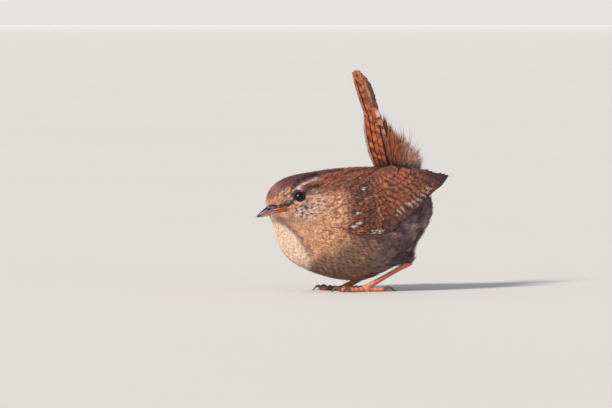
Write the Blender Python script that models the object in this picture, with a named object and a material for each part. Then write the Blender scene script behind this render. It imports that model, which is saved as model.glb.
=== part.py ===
"""A life-size wren that stands still with its tail cocked over its back.

The bird faces -X, its left side is -Y, and its feet stand on the plane z = 0.
Lengths in this file are millimetres, turned into metres where a mesh is made.
"""

import math

import bmesh
import bpy
from mathutils import Vector
from mathutils.bvhtree import BVHTree

MM = 0.001
GAP = 0.3  # clearance between neighbouring pieces
VANE = 0.5  # thickness of a feather vane
SHELL_LIMIT = 1.8  # most that a corner moves for each unit of an offset
SIDES = {"left": -1, "right": 1}

# The trunk is a loft of rings that fan round the breast. Each ring has a top point and
# a bottom point on the bird's middle plane (x, z), a half width, and how far down the
# ring is widest, from 0 at its top to 1 at its bottom.
TRUNK_RINGS = (
    ((-31.6, 31.2), (-29.7, 27.0), 1.7, 0.50),
    ((-31.2, 34.4), (-29.1, 24.6), 2.8, 0.50),
    ((-29.3, 37.4), (-28.4, 22.2), 4.3, 0.48),
    ((-25.6, 39.9), (-27.6, 19.2), 6.2, 0.46),
    ((-20.7, 41.5), (-26.3, 15.6), 8.1, 0.47),
    ((-14.8, 42.5), (-23.8, 12.1), 10.5, 0.50),
    ((-8.2, 43.4), (-19.2, 8.9), 13.4, 0.52),
    ((-0.8, 44.0), (-12.2, 6.0), 16.0, 0.52),
    ((5.8, 44.2), (-4.1, 4.1), 17.0, 0.52),
    ((12.1, 43.9), (4.3, 4.0), 16.8, 0.52),
    ((17.6, 42.8), (12.4, 7.7), 15.6, 0.51),
    ((22.0, 40.6), (19.0, 13.4), 13.4, 0.50),
    ((25.3, 37.4), (23.8, 18.8), 10.3, 0.50),
    ((27.5, 33.7), (27.1, 24.5), 6.0, 0.50),
    ((28.4, 30.6), (28.4, 28.4), 1.6, 0.50),
)
TRUNK_AROUND = 28
TRUNK_STEPS = 2  # rings made for each span of the table
# Where the trunk is parted, in the side view (x, z), from over the back to the front.
HEAD_CUT = ((-10.5, 48.0), (-12.0, 40.0), (-14.2, 33.0), (-18.0, 27.2), (-23.0, 23.6), (-34.0, 21.2))
NECK_CUT = ((-3.5, 49.0), (-6.0, 40.0), (-11.5, 30.0), (-18.0, 21.5), (-25.0, 15.6), (-34.0, 12.0))

EYE_AT = (-21.5, 34.1)  # where the eye shows, in the side view
EYE_RADIUS = 2.3
EYE_SINK = 1.6  # depth of the eyeball's centre under the face
LID_RADIUS = 1.75
LID_THICKNESS = 0.32

# Bill rings: top and bottom points on the middle plane, and half width.
BILL_RINGS = (
    ((-28.6, 31.4), (-26.8, 27.6), 2.5, 0.5),
    ((-30.4, 30.8), (-29.4, 27.1), 2.1, 0.5),
    ((-32.2, 29.5), (-31.6, 26.7), 1.5, 0.5),
    ((-33.9, 28.0), (-33.6, 26.35), 0.85, 0.5),
    ((-35.1, 26.85), (-35.0, 26.1), 0.42, 0.5),
    ((-35.7, 26.3), (-35.7, 26.05), 0.14, 0.5),
)
BILL_AROUND = 16
MOUTH_LINE = (
    (-36.6, 25.6), (-35.3, 26.05), (-34.6, 26.5), (-33.1, 27.3), (-30.8, 28.1), (-28.4, 28.8),
    (-24.0, 29.4),
)
MOUTH_GAP = 0.13  # half of the slit between the mandibles
# The line of the mouth on the face, from the bill to the gape's corner, in the side view.
GAPE_START = (-29.8, 28.2)
GAPE_CORNER = (-23.2, 29.7)
GAPE_RADIUS = 0.32
GAPE_POINTS = 12
NOSTRIL = (-30.9, 1.35, 29.4)
NOSTRIL_RADII = (0.62, 0.4, 0.32)

# The folded wing, in the side view (x, z).
WING_SKIN = 0.9  # thickness of the wing's own flesh over the flank
SHEET_HALF = 17.2  # half span of the folded wings where they leave the body
SHEET_START = 2.0
SHEET_FALL = 7.2
SHEET_TUCK = 0.36  # how much the sheet draws in for each millimetre ahead of its start
SHEET_END = 33.0
SHEET_CENTRE_Z = 24.0
SHEET_HEIGHT = 20.5
SHEET_CURL = (1.0, 0.5)  # how far the sheet curls in towards its upper edge, at its start and end
WING_PAD = (
    (-14.6, 29.8), (-10.6, 23.0), (-3.0, 20.9), (6.0, 21.6), (13.5, 25.6),
    (17.0, 32.0), (13.0, 39.4), (3.0, 41.0), (-8.0, 38.6),
)

VANE_TILT = 0.36  # how much more a wing vane's lower edge stands out than its upper edge
# Widths of a vane from its root to its tip, as shares of its length and of its half width.
FLIGHT_SHAPE = ((0.0, 0.45), (0.35, 0.88), (0.7, 1.0), (0.93, 0.72), (1.0, 0.28))
COVERT_SHAPE = ((0.0, 0.6), (0.5, 1.0), (0.85, 0.85), (1.0, 0.4))
# Each tier of the wing: name, vanes, the line of the roots and of the tips in the side view,
# bow of the lowest and the highest vane, half width, lift of the first and step to the next.
WING_TIERS = (
    ("primary", 7, ((0.0, 21.6), (2.0, 26.5)), ((20.6, 31.8), (28.2, 37.4), (33.0, 40.8)),
     (1.1, 0.8), 1.75, (-0.05, 0.045), FLIGHT_SHAPE),
    ("secondary", 6, ((1.5, 26.5), (1.0, 34.0)), ((31.6, 41.4), (24.4, 42.9)),
     (1.6, 0.6), 1.9, (0.25, 0.06), FLIGHT_SHAPE),
    ("tertial", 3, ((-1.5, 32.5), (-2.5, 37.0)), ((22.4, 42.6), (14.0, 43.2)),
     (0.8, 0.3), 2.2, (0.6, 0.08), FLIGHT_SHAPE),
    ("greater_covert", 8, ((-7.0, 22.8), (-7.0, 37.0)), ((5.6, 22.9), (7.4, 30.0), (6.0, 38.6)),
     (0.4, 0.2), 1.75, (0.62, 0.03), COVERT_SHAPE),
    ("median_covert", 7, ((-12.6, 24.6), (-12.2, 37.0)), ((-3.4, 23.6), (-2.2, 30.4), (-2.6, 38.2)),
     (0.3, 0.1), 1.75, (0.85, 0.02), COVERT_SHAPE),
)

# Tail feathers, in the middle plane.
TAIL_ROOT = (14.6, 35.5)
TAIL_TIP = (-0.4, 78.7)
RECTRICES = 6  # on each side
RECTRIX_SHORTER = 0.05  # how much shorter the outermost feather is, as a share
RECTRIX_SLOPES = (16.0, 46.0)  # degrees that the middle and the outermost vane slope like a roof
RECTRIX_SHAPE = ((0.0, 0.5), (0.4, 0.85), (0.8, 1.0), (0.96, 0.8), (1.0, 0.4))
# Coverts over the tail's root: their share across the tail, and length as a share of its own.
UPPER_COVERTS = ((0.1, 0.66), (0.45, 0.62), (0.8, 0.56))
UPPER_COVERT_LIFT = 0.62
UPPER_COVERT_BOW = 2.7  # how far a covert bows forward between its root and its tip
UPPER_COVERT_SHAPE = ((0.0, 0.5), (0.25, 0.8), (0.5, 1.0), (0.75, 0.95), (0.93, 0.7), (1.0, 0.35))
TAIL_CORE = ((0.0, 2.6), (0.34, 1.4))  # place along the tail, and radius, of the flesh that it grows from
RECTRIX_HALF_WIDTH = 2.1
TAIL_MIDDLE = 0.55  # how far out the middle shafts stand at their tips
TAIL_SPREAD = 3.7  # how much further out the outermost shaft stands
TAIL_UNEVEN = 0.012  # how much shorter the right half's feathers lie, as a share
TAIL_DROP = 2.3  # how far the outermost feather lies behind the middle pair

# Feathers under the tail fan out from the vent. Each tier: where its roots and its tips
# lie on the middle plane, how far it spreads to each side, and how many vanes it has.
UNDERTAIL_TIERS = (
    ((12.6, 45.5), (10.4, 63.4), 3.0, 3),
    ((14.0, 44.5), (13.6, 59.6), 3.5, 4),
    ((15.6, 43.5), (17.6, 56.2), 3.9, 3),
    ((17.0, 42.2), (21.8, 53.6), 4.1, 4),
    ((18.2, 41.0), (24.9, 50.8), 3.9, 3),
    ((19.2, 39.8), (26.6, 47.2), 3.4, 4),
)
UNDERTAIL_TURN = 74.0  # degrees that the outermost vane of a tier faces sideways
UNDERTAIL_HALF_WIDTH = 2.8
UNDERTAIL_BOW = 0.9
UNDERTAIL_SHAPE = ((0.0, 0.6), (0.4, 1.0), (0.8, 0.95), (1.0, 0.55))
VENT_CENTRE = (17.8, 42.8)
VENT_RADII = (5.0, 3.9, 5.4)

# Legs. The left foot stands a little behind the right one.
FOOT_X = {"left": 3.2, "right": 0.0}
FOOT_Y = 7.2
ANKLE_Z = 1.55
HEEL = (19.0, 7.4, 10.4)
THIGH_TOP = (10.5, 8.2, 20.0)
TOE_SOLE = 0.6  # height of a toe's centre line, less than its radius, so the sole is flat
TOES = {  # heading in degrees from straight ahead, inwards positive; length without the claw
    "inner": (24.0, 6.6),
    "middle": (2.0, 9.4),
    "outer": (-21.0, 7.2),
    "hind": (184.0, 6.2),
}
CLAW_LENGTH = {"inner": 3.6, "middle": 4.0, "outer": 3.6, "hind": 5.2}
CLAW_RADIUS = 0.62
CLAW_ARCH = 0.95  # how high a claw rises over its root
# A toe's pads and creases: place along it, height over the sole's own height, and radius.
TOE_PROFILE = (
    (0.0, 0.45, 0.95), (0.22, 0.15, 0.9), (0.42, 0.0, 0.74), (0.56, 0.06, 0.9),
    (0.72, 0.0, 0.7), (0.88, 0.06, 0.84), (1.0, 0.08, 0.6),
)
FOOT_PAD = (1.75, 1.55, 1.45)
FOOT_PAD_Z = 1.15
# The thigh's place along the line from hip to heel, and radius; then the shank's from heel to foot.
THIGH_PROFILE = ((0.0, 4.6), (0.35, 4.5), (0.7, 3.7), (1.0, 2.5), (1.12, 1.2))
SHANK_PROFILE = ((0.0, 1.1), (0.1, 1.15), (0.28, 0.9), (0.6, 0.88), (0.86, 1.05), (1.0, 1.1))
HEEL_SHIFT = 0.4  # how much of a foot's step forward its heel takes part in

PLUMAGE_BROWN = (0.30, 0.13, 0.06)
RUFOUS = (0.40, 0.16, 0.06)
BUFF = (0.62, 0.38, 0.22)
FLESH = (0.48, 0.22, 0.13)
HORN = (0.10, 0.07, 0.07)
MANDIBLE = (0.55, 0.33, 0.24)
EYE_BLACK = (0.01, 0.01, 0.012)


def mix(a, b, t):
    """Value between a and b."""
    return a + (b - a) * t


def curve_through(rows, steps):
    """Rows of numbers passed through by a smooth curve, with steps new rows a span."""
    rows = [list(row) for row in rows]
    found = []
    for i in range(len(rows) - 1):
        nearby = (rows[max(i - 1, 0)], rows[i], rows[i + 1], rows[min(i + 2, len(rows) - 1)])
        for k in range(steps):
            t = k / steps
            found.append([
                b + 0.5 * t * (c - a + t * (2 * a - 5 * b + 4 * c - d + t * (3 * (b - c) + d - a)))
                for a, b, c, d in zip(*nearby)
            ])
    return found + [rows[-1]]


def material(name, colour, roughness):
    """A Principled material of one colour."""
    made = bpy.data.materials.get(name) or bpy.data.materials.new(name)
    made.use_nodes = True
    shader = made.node_tree.nodes["Principled BSDF"]
    shader.inputs["Base Color"].default_value = (*colour, 1.0)
    shader.inputs["Roughness"].default_value = roughness
    shader.inputs["Metallic"].default_value = 0.0
    return made


def place(name, mesh, collection):
    """An object that shows the mesh, in the collection."""
    obj = bpy.data.objects.new(name, mesh)
    collection.objects.link(obj)
    return obj


def mesh_from(bm, name, collection):
    """The bmesh, in millimetres, as an object in metres with its faces outwards."""
    bmesh.ops.remove_doubles(bm, verts=bm.verts, dist=1e-4)
    bmesh.ops.recalc_face_normals(bm, faces=bm.faces)
    bmesh.ops.scale(bm, vec=(MM, MM, MM), verts=bm.verts)
    mesh = bpy.data.meshes.new(name)
    bm.to_mesh(mesh)
    bm.free()
    return place(name, mesh, collection)


def loft(name, rings, collection):
    """A closed skin over rings of equally many points, triangulated alike all round."""
    bm = bmesh.new()
    rows = [[bm.verts.new(p) for p in ring] for ring in rings]
    count = len(rows[0])
    for lower, upper in zip(rows, rows[1:]):
        for i in range(count):
            j = (i + 1) % count
            bm.faces.new((lower[i], lower[j], upper[j]))
            bm.faces.new((lower[i], upper[j], upper[i]))
    for end in (rows[0], rows[-1]):
        bm.faces.new(end)
    bmesh.ops.triangulate(bm, faces=[f for f in bm.faces if len(f.verts) > 3])
    return mesh_from(bm, name, collection)


def oval_ring(top, bottom, half_width, widest, count):
    """An oval in the plane of its top and bottom points, widest part of the way down."""
    lean = math.log(widest) / math.log(0.5)
    ring = []
    for k in range(count):
        turn = 2 * math.pi * k / count
        down = ((1 - math.cos(turn)) / 2) ** lean
        side = half_width * math.sin(turn)
        ring.append((mix(top[0], bottom[0], down), side, mix(top[1], bottom[1], down)))
    return ring


def oval_loft(name, table, steps, count, collection):
    """A loft of oval rings from a table of tops, bottoms, half widths and widest places."""
    rows = curve_through([(*top, *bottom, half, widest) for top, bottom, half, widest in table], steps)
    rings = [oval_ring(row[0:2], row[2:4], row[4], row[5], count) for row in rows]
    return loft(name, rings, collection)


def vane(name, left, right, normals, collection, thickness=VANE):
    """A feather blade between two edges, with the same diagonals on both of its faces."""
    bm = bmesh.new()
    rows = []
    for a, b, n in zip(left, right, normals):
        lift = n * (thickness / 2)
        rows.append([bm.verts.new(p) for p in (a + lift, b + lift, b - lift, a - lift)])
    for lower, upper in zip(rows, rows[1:]):
        for i, j, corner in ((0, 1, False), (1, 2, False), (2, 3, True), (3, 0, False)):
            if corner:
                bm.faces.new((lower[i], lower[j], upper[i]))
                bm.faces.new((lower[j], upper[j], upper[i]))
            else:
                bm.faces.new((lower[i], lower[j], upper[j]))
                bm.faces.new((lower[i], upper[j], upper[i]))
    bm.faces.new((rows[0][0], rows[0][1], rows[0][2]))
    bm.faces.new((rows[0][0], rows[0][2], rows[0][3]))
    bm.faces.new((rows[-1][0], rows[-1][1], rows[-1][2]))
    bm.faces.new((rows[-1][0], rows[-1][2], rows[-1][3]))
    return mesh_from(bm, name, collection)


def ball(name, centre, radii, collection, segments=16, rings=10):
    """An ellipsoid with the given half axes."""
    bm = bmesh.new()
    bmesh.ops.create_uvsphere(bm, u_segments=segments, v_segments=rings, radius=1.0)
    bmesh.ops.scale(bm, vec=radii, verts=bm.verts)
    bmesh.ops.translate(bm, vec=centre, verts=bm.verts)
    return mesh_from(bm, name, collection)


def tube(name, points, radii, collection, resolution=2):
    """A closed round tube through the points, whose radius follows the list."""
    data = bpy.data.curves.new(name, "CURVE")
    data.dimensions = "3D"
    data.bevel_depth = MM
    data.bevel_resolution = resolution
    data.use_fill_caps = True
    spline = data.splines.new("POLY")
    spline.points.add(len(points) - 1)
    for at, point, radius in zip(spline.points, points, radii):
        at.co = (*(c * MM for c in point), 1.0)
        at.radius = radius
    guide = place(name + "_guide", data, collection)
    bpy.context.view_layer.update()
    mesh = bpy.data.meshes.new_from_object(guide.evaluated_get(bpy.context.evaluated_depsgraph_get()))
    mesh.materials.clear()
    bpy.data.objects.remove(guide)
    bm = bmesh.new()
    bm.from_mesh(mesh)
    bmesh.ops.remove_doubles(bm, verts=bm.verts, dist=1e-6)
    bmesh.ops.triangulate(bm, faces=bm.faces)
    bmesh.ops.recalc_face_normals(bm, faces=bm.faces)
    bm.to_mesh(mesh)
    bm.free()
    return place(name, mesh, collection)


def prism(name, outline, low, high, collection):
    """An outline in the side view (x, z), thick from y low to y high."""
    bm = bmesh.new()
    near = [bm.verts.new((x, low, z)) for x, z in outline]
    face = bm.faces.new(near)
    pushed = bmesh.ops.extrude_face_region(bm, geom=[face])["geom"]
    far = [v for v in pushed if isinstance(v, bmesh.types.BMVert)]
    bmesh.ops.translate(bm, vec=(0, high - low, 0), verts=far)
    bmesh.ops.triangulate(bm, faces=bm.faces)
    return mesh_from(bm, name, collection)


def largest_body(mesh):
    """Leaves only the closed surface that holds the most."""
    bm = bmesh.new()
    bm.from_mesh(mesh)
    unseen = set(bm.verts)
    groups = []
    while unseen:
        front = [unseen.pop()]
        group = set(front)
        while front:
            for edge in front.pop().link_edges:
                for v in edge.verts:
                    if v in unseen:
                        unseen.discard(v)
                        group.add(v)
                        front.append(v)
        faces = {f for v in group for f in v.link_faces}
        volume = sum(f.calc_center_median().dot(f.normal) * f.calc_area() for f in faces) / 3
        groups.append((volume, group))
    keep = max(groups, key=lambda entry: entry[0])[1]
    bmesh.ops.delete(bm, geom=[v for v in bm.verts if v not in keep], context="VERTS")
    bmesh.ops.triangulate(bm, faces=bm.faces)
    bm.to_mesh(mesh)
    bm.free()


def bake(obj):
    """Applies the object's modifiers and keeps its largest closed body."""
    bpy.context.view_layer.update()
    mesh = bpy.data.meshes.new_from_object(obj.evaluated_get(bpy.context.evaluated_depsgraph_get()))
    old = obj.data
    obj.modifiers.clear()
    obj.data = mesh
    mesh.name = obj.name
    bpy.data.meshes.remove(old)
    largest_body(mesh)
    return obj


def drop(*objects):
    """Removes helper objects and their meshes."""
    for obj in objects:
        mesh = obj.data
        bpy.data.objects.remove(obj)
        if mesh.users == 0:
            bpy.data.meshes.remove(mesh)


def boolean(obj, other, operation, solver="EXACT"):
    """One Boolean of two closed meshes, applied."""
    cut = obj.modifiers.new(operation.lower(), "BOOLEAN")
    cut.operation = operation
    cut.object = other
    cut.solver = solver
    return bake(obj)


def united(obj, others):
    """The object joined with all the others by one Boolean, and the others removed."""
    pieces = bpy.data.collections.new(obj.name + "_pieces")
    bpy.context.scene.collection.children.link(pieces)
    for other in others:
        for holder in list(other.users_collection):
            holder.objects.unlink(other)
        pieces.objects.link(other)
    join = obj.modifiers.new("join", "BOOLEAN")
    join.operation = "UNION"
    join.operand_type = "COLLECTION"
    join.collection = pieces
    join.solver = "MANIFOLD"
    bake(obj)
    drop(*others)
    bpy.data.collections.remove(pieces)
    return obj


def swollen(obj, distance, collection):
    """A copy of the object, grown outwards by the distance, to cut a clearance with."""
    copy = place(obj.name + "_swollen", obj.data.copy(), collection)
    bm = bmesh.new()
    bm.from_mesh(copy.data)
    bm.normal_update()
    moves = [v.normal * min(v.calc_shell_factor(), SHELL_LIMIT) * distance * MM for v in bm.verts]
    for v, move in zip(bm.verts, moves):
        v.co += move
    bm.to_mesh(copy.data)
    bm.free()
    return copy


def hull_round(obj, distance, name, collection):
    """The convex hull of an object, grown by the distance."""
    bm = bmesh.new()
    for v in obj.data.vertices:
        bm.verts.new(v.co / MM)
    hull = bmesh.ops.convex_hull(bm, input=bm.verts)
    loose = {v for v in hull["geom_interior"] + hull["geom_unused"] if isinstance(v, bmesh.types.BMVert)}
    bmesh.ops.delete(bm, geom=list(loose), context="VERTS")
    made = mesh_from(bm, name, collection)
    grown = swollen(made, distance, collection)
    drop(made)
    return grown


def cleared(obj, *neighbours):
    """The object cut back from grown copies of its neighbours, which are removed."""
    for neighbour in neighbours:
        boolean(obj, neighbour, "DIFFERENCE", "MANIFOLD")
        drop(neighbour)
    return obj


def cut_block(name, line, front, collection):
    """All that lies in front of a cut through the trunk, or behind it, half a gap clear of it."""
    points = [Vector(p) for p in line]
    far = 80  # past all of the bird
    shifted = []
    for i, p in enumerate(points):
        along = (points[min(i + 1, len(points) - 1)] - points[max(i - 1, 0)]).normalized()
        ahead = Vector((along.y, -along.x))
        if ahead.x > 0:
            ahead = -ahead
        shifted.append(p + ahead * (GAP / 2 if front else -GAP / 2))
    if front:
        corners = [(-far, shifted[-1].y), (-far, shifted[0].y)]
    else:
        corners = [(-far, shifted[-1].y), (-far, -far), (far, -far), (far, shifted[0].y)]
    return prism(name, [tuple(p) for p in shifted] + corners, -far, far, collection)


def along_corners(points, t):
    """A point at a share of the way along a line with a few corners, equally far apart."""
    place_on = t * (len(points) - 1)
    start = min(int(place_on), len(points) - 2)
    return [mix(a, b, place_on - start) for a, b in zip(points[start], points[start + 1])]


def half_width_at(tree, x, z):
    """How far the body reaches from the middle plane at a point of the side view."""
    start = Vector((x * MM, -0.08, z * MM))
    hit = tree.ray_cast(start, Vector((0, 1, 0)))[0]
    return 0.0 if hit is None else max(0.0, -hit.y / MM)


def wing_sheet(x, z):
    """Half span of the folded flight feathers, which run straight on past the body."""
    run = max(0.0, (x - SHEET_START) / (SHEET_END - SHEET_START))
    half = SHEET_HALF - SHEET_FALL * run**1.25 - SHEET_TUCK * max(0.0, SHEET_START - x)
    rise = (z - SHEET_CENTRE_Z) / SHEET_HEIGHT
    return half * math.sqrt(max(0.02, 1 - mix(*SHEET_CURL, min(run, 1.0)) * rise * rise))


class WingSurface:
    """The outer face of a folded wing, which drapes the body and then leaves it."""

    def __init__(self, tree, side):
        self.tree = tree
        self.side = side

    def half(self, x, z):
        """Distance of the wing's outer face from the middle plane."""
        body = half_width_at(self.tree, x, z)
        draped = body + WING_SKIN if body else 0.0
        return max(draped, wing_sheet(x, z))

    def normal(self, x, z):
        """Outward direction of the wing's face."""
        step = 1.5
        slope_x = (self.half(x + step, z) - self.half(x - step, z)) / (2 * step)
        slope_z = (self.half(x, z + step) - self.half(x, z - step)) / (2 * step)
        return Vector((-slope_x, self.side, -slope_z)).normalized()

    def point(self, x, z, lift):
        """A point at a height over the wing's face."""
        return Vector((x, self.side * self.half(x, z), z)) + self.normal(x, z) * lift


def wing_vane(name, surface, root, tip, bow, half_width, lifts, shape, collection):
    """A wing feather draped on the wing: bow bends it down, and lifts are (upper edge, lower edge)."""
    root, tip = Vector(root), Vector(tip)
    along = tip - root
    down = Vector((along.y, -along.x)).normalized()
    if down.y > 0:
        down = -down
    left, right, normals = [], [], []
    for share, width in shape:
        centre = root + along * share + down * (bow * 4 * share * (1 - share))
        across = down * (half_width * width)
        upper, lower = centre - across, centre + across
        rise = 0.3 + 0.7 * share
        a = surface.point(upper.x, upper.y, lifts[0] * rise)
        b = surface.point(lower.x, lower.y, lifts[1] * rise)
        flat = surface.normal(centre.x, centre.y)
        edge = b - a
        left.append(a)
        right.append(b)
        normals.append((flat - edge * (flat.dot(edge) / edge.length_squared)).normalized())
    return vane(name, left, right, normals, collection)


def feather_row(surface, tier, collection):
    """A tier of overlapping vanes from the lowest to the highest, each over the one below it."""
    name, count, roots, tips, bows, half_width, (base_lift, step), shape = tier
    row = []
    for i in range(count):
        t = i / (count - 1)
        root = along_corners(roots, t)
        tip = along_corners(tips, t)
        lift = base_lift + step * i
        lifts = (lift, lift + VANE_TILT)
        bow = mix(*bows, t)
        vane_name = f"{name}_{i}"
        row.append(wing_vane(vane_name, surface, root, tip, bow, half_width, lifts, shape, collection))
    return row


def build_wing(word, trunk, tree, parts, tools):
    """A folded wing: flesh over the flank, then flight feathers and coverts in tiers."""
    side = SIDES[word]
    surface = WingSurface(tree, side)
    pad = swollen(trunk, WING_SKIN + GAP, tools)
    low, high = sorted((side * 1, side * 40))  # from near the middle plane to past the flank
    outline = prism("outline", WING_PAD, low, high, tools)
    boolean(pad, outline, "INTERSECT")
    drop(outline)
    rows = []
    for tier in WING_TIERS:
        rows += feather_row(surface, tier, tools)
    wing = united(pad, rows)
    wing.name = f"wing_{word}"
    parts.objects.link(wing)
    tools.objects.unlink(wing)
    cleared(wing, swollen(trunk, GAP, tools))
    return wing


def tail_axes():
    """The tail's root, the way from there to its tip, and the way away from the head."""
    root = Vector((TAIL_ROOT[0], 0, TAIL_ROOT[1]))
    run = Vector((TAIL_TIP[0], 0, TAIL_TIP[1])) - root
    return root, run, Vector((run.z, 0, -run.x)).normalized()


def tail_vane(name, side, share, length, shape, lift, bow, collection):
    """A tail feather: share 0 lies in the middle and on top, share 1 outermost and behind."""
    root, run, behind = tail_axes()
    out = Vector((0, side, 0))
    slope = math.radians(mix(*RECTRIX_SLOPES, share))
    across = out * math.cos(slope) + behind * math.sin(slope)
    normal = out * math.sin(slope) - behind * math.cos(slope)
    left, right, normals = [], [], []
    for s, width in shape:
        centre = root + run * (length * s)
        centre += out * ((TAIL_MIDDLE + TAIL_SPREAD * share) * mix(0.35, 1.0, s))
        centre += behind * ((TAIL_DROP * share - lift) * mix(0.7, 1.0, s) - bow * math.sin(math.pi * s))
        left.append(centre - across * (RECTRIX_HALF_WIDTH * width))
        right.append(centre + across * (RECTRIX_HALF_WIDTH * width))
        normals.append(normal)
    return vane(name, left, right, normals, collection)


def build_tail(trunk, parts, tools):
    """Twelve tail feathers under one another like a roof, and the coverts on their root."""
    vanes = []
    for word, side in SIDES.items():
        for i in range(RECTRICES):
            share = i / (RECTRICES - 1)
            length = 1.0 - RECTRIX_SHORTER * share**2 - (TAIL_UNEVEN if side > 0 else 0.0)
            name = f"rectrix_{word}_{i}"
            vanes.append(tail_vane(name, side, share, length, RECTRIX_SHAPE, 0.0, 0.0, tools))
        for share, length in UPPER_COVERTS:
            name = f"upper_covert_{word}_{share}"
            bow = UPPER_COVERT_BOW * (1 - 0.4 * share)
            vanes.append(tail_vane(
                name, side, share, length, UPPER_COVERT_SHAPE, UPPER_COVERT_LIFT, bow, tools
            ))
    root, run, _ = tail_axes()
    core = tube("tail", [root + run * s for s, _ in TAIL_CORE], [radius for _, radius in TAIL_CORE], parts)
    tail = united(core, vanes)
    room = hull_round(tail, GAP, "tail_room", tools)
    cleared(tail, swollen(trunk, GAP, tools))
    return tail, room


def undertail_vane(name, tier, share, collection):
    """A soft covert of the fan behind the tail: share -1 is its right edge and 1 its left edge."""
    (root_x, root_z), (tip_x, tip_z), spread, _ = tier
    start = Vector((root_x, -share * spread * 0.5, root_z))
    end = Vector((tip_x, -share * spread, tip_z))
    end += (start - end) * (0.16 * share * share)
    along = (end - start).normalized()
    middle = Vector((tip_x - root_x, 0, tip_z - root_z)).normalized()
    behind = Vector((middle.z, 0, -middle.x))
    turn = math.radians(UNDERTAIL_TURN * share)
    normal = behind * math.cos(turn) + Vector((0, -1, 0)) * math.sin(turn)
    normal = (normal - along * normal.dot(along)).normalized()
    across = along.cross(normal)
    left, right, normals = [], [], []
    for s, width in UNDERTAIL_SHAPE:
        centre = start.lerp(end, s) + normal * (UNDERTAIL_BOW * math.sin(math.pi * s))
        left.append(centre - across * (UNDERTAIL_HALF_WIDTH * width))
        right.append(centre + across * (UNDERTAIL_HALF_WIDTH * width))
        normals.append(normal)
    return vane(name, left, right, normals, collection)


def build_undertail(trunk, tail_room, parts, tools):
    """The soft feathers behind the cocked tail, in tiers, rooted on the vent."""
    vanes = []
    for number, tier in enumerate(UNDERTAIL_TIERS):
        count = tier[-1]
        for i in range(count):
            vanes.append(undertail_vane(f"undertail_{number}_{i}", tier, 2 * i / (count - 1) - 1, tools))
    core = ball("undertail_coverts", (VENT_CENTRE[0], 0, VENT_CENTRE[1]), VENT_RADII, parts)
    united(core, vanes)
    return cleared(core, tail_room, swollen(trunk, GAP, tools))


def eye_place(word, tree):
    """The eyeball's centre, and the direction that it looks in."""
    side = SIDES[word]
    x, z = EYE_AT
    step = 1.5
    slope_x = (half_width_at(tree, x + step, z) - half_width_at(tree, x - step, z)) / (2 * step)
    slope_z = (half_width_at(tree, x, z + step) - half_width_at(tree, x, z - step)) / (2 * step)
    axis = Vector((-slope_x, side, -slope_z)).normalized()
    return Vector((x, side * half_width_at(tree, x, z), z)) - axis * EYE_SINK, axis


def build_eye(word, tree, parts):
    """An eyeball, of which the lids leave a round opening."""
    return ball(f"eye_{word}", eye_place(word, tree)[0], (EYE_RADIUS,) * 3, parts)


def lid_ring(word, tree, tools):
    """The bare rim of the lids round the eye, as a ring laid square to the eye's axis."""
    centre, axis = eye_place(word, tree)
    centre += axis * math.sqrt(EYE_RADIUS**2 - LID_RADIUS**2)
    across = axis.orthogonal().normalized()
    up = axis.cross(across)
    around, tube_sides = 16, 5
    bm = bmesh.new()
    rows = []
    for i in range(around):
        turn = 2 * math.pi * i / around
        out = across * math.cos(turn) + up * math.sin(turn)
        row = []
        for k in range(tube_sides):
            roll = 2 * math.pi * k / tube_sides
            row.append(bm.verts.new(
                centre + out * (LID_RADIUS + 0.12 + LID_THICKNESS * math.cos(roll))
                + axis * (LID_THICKNESS * math.sin(roll) - 0.05)
            ))
        rows.append(row)
    for i in range(around):
        for k in range(tube_sides):
            a, b = rows[i], rows[(i + 1) % around]
            bm.faces.new((a[k], a[(k + 1) % tube_sides], b[(k + 1) % tube_sides], b[k]))
    bmesh.ops.triangulate(bm, faces=bm.faces)
    return mesh_from(bm, f"lid_{word}", tools)


def build_bill(trunk, parts, tools):
    """The bill, parted into its two mandibles along the mouth line."""
    halves = []
    for word, sign in (("upper", 1), ("lower", -1)):
        half = oval_loft(f"bill_{word}", BILL_RINGS, 2, BILL_AROUND, parts)
        edge = [(x, z + sign * MOUTH_GAP) for x, z in MOUTH_LINE]
        far = sign * 30
        outline = edge + [(edge[-1][0], edge[-1][1] + far), (edge[0][0], edge[0][1] + far)]
        keeper = prism("keeper", outline, -10, 10, tools)
        boolean(half, keeper, "INTERSECT")
        drop(keeper)
        halves.append(half)
    for side in SIDES.values():
        x, y, z = NOSTRIL
        pit = ball("pit", (x, side * y, z), NOSTRIL_RADII, tools, 10, 6)
        boolean(halves[0], pit, "DIFFERENCE")
        drop(pit)
    for half in halves:
        cleared(half, swollen(trunk, GAP, tools))
    return halves


def part_trunk(trunk, tree, parts, tools):
    """The loft parted into head, neck and torso, with the head's lids, sockets and gape."""
    head = place("head", trunk.data.copy(), parts)
    neck = place("neck", trunk.data.copy(), parts)
    torso = place("torso", trunk.data.copy(), parts)
    cuts = (
        (head, HEAD_CUT, True), (neck, HEAD_CUT, False), (neck, NECK_CUT, True), (torso, NECK_CUT, False),
    )
    for obj, line, front in cuts:
        keeper = cut_block("keeper", line, front, tools)
        boolean(obj, keeper, "INTERSECT")
        drop(keeper)
    united(head, [lid_ring(word, tree, tools) for word in SIDES])
    for word, side in SIDES.items():
        socket = ball("socket", eye_place(word, tree)[0], (EYE_RADIUS + GAP,) * 3, tools)
        boolean(head, socket, "DIFFERENCE")
        drop(socket)
        points = []
        for i in range(GAPE_POINTS):
            run = (i / (GAPE_POINTS - 1)) ** 1.5
            x = mix(GAPE_START[0], GAPE_CORNER[0], run)
            z = mix(GAPE_START[1], GAPE_CORNER[1], run**0.7)
            points.append((x, side * (half_width_at(tree, x, z) + GAPE_RADIUS / 3), z))
        groove = tube("groove", points, [GAPE_RADIUS] * (GAPE_POINTS - 1) + [GAPE_RADIUS / 2], tools, 1)
        boolean(head, groove, "DIFFERENCE")
        drop(groove)
    return head, neck, torso


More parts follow.
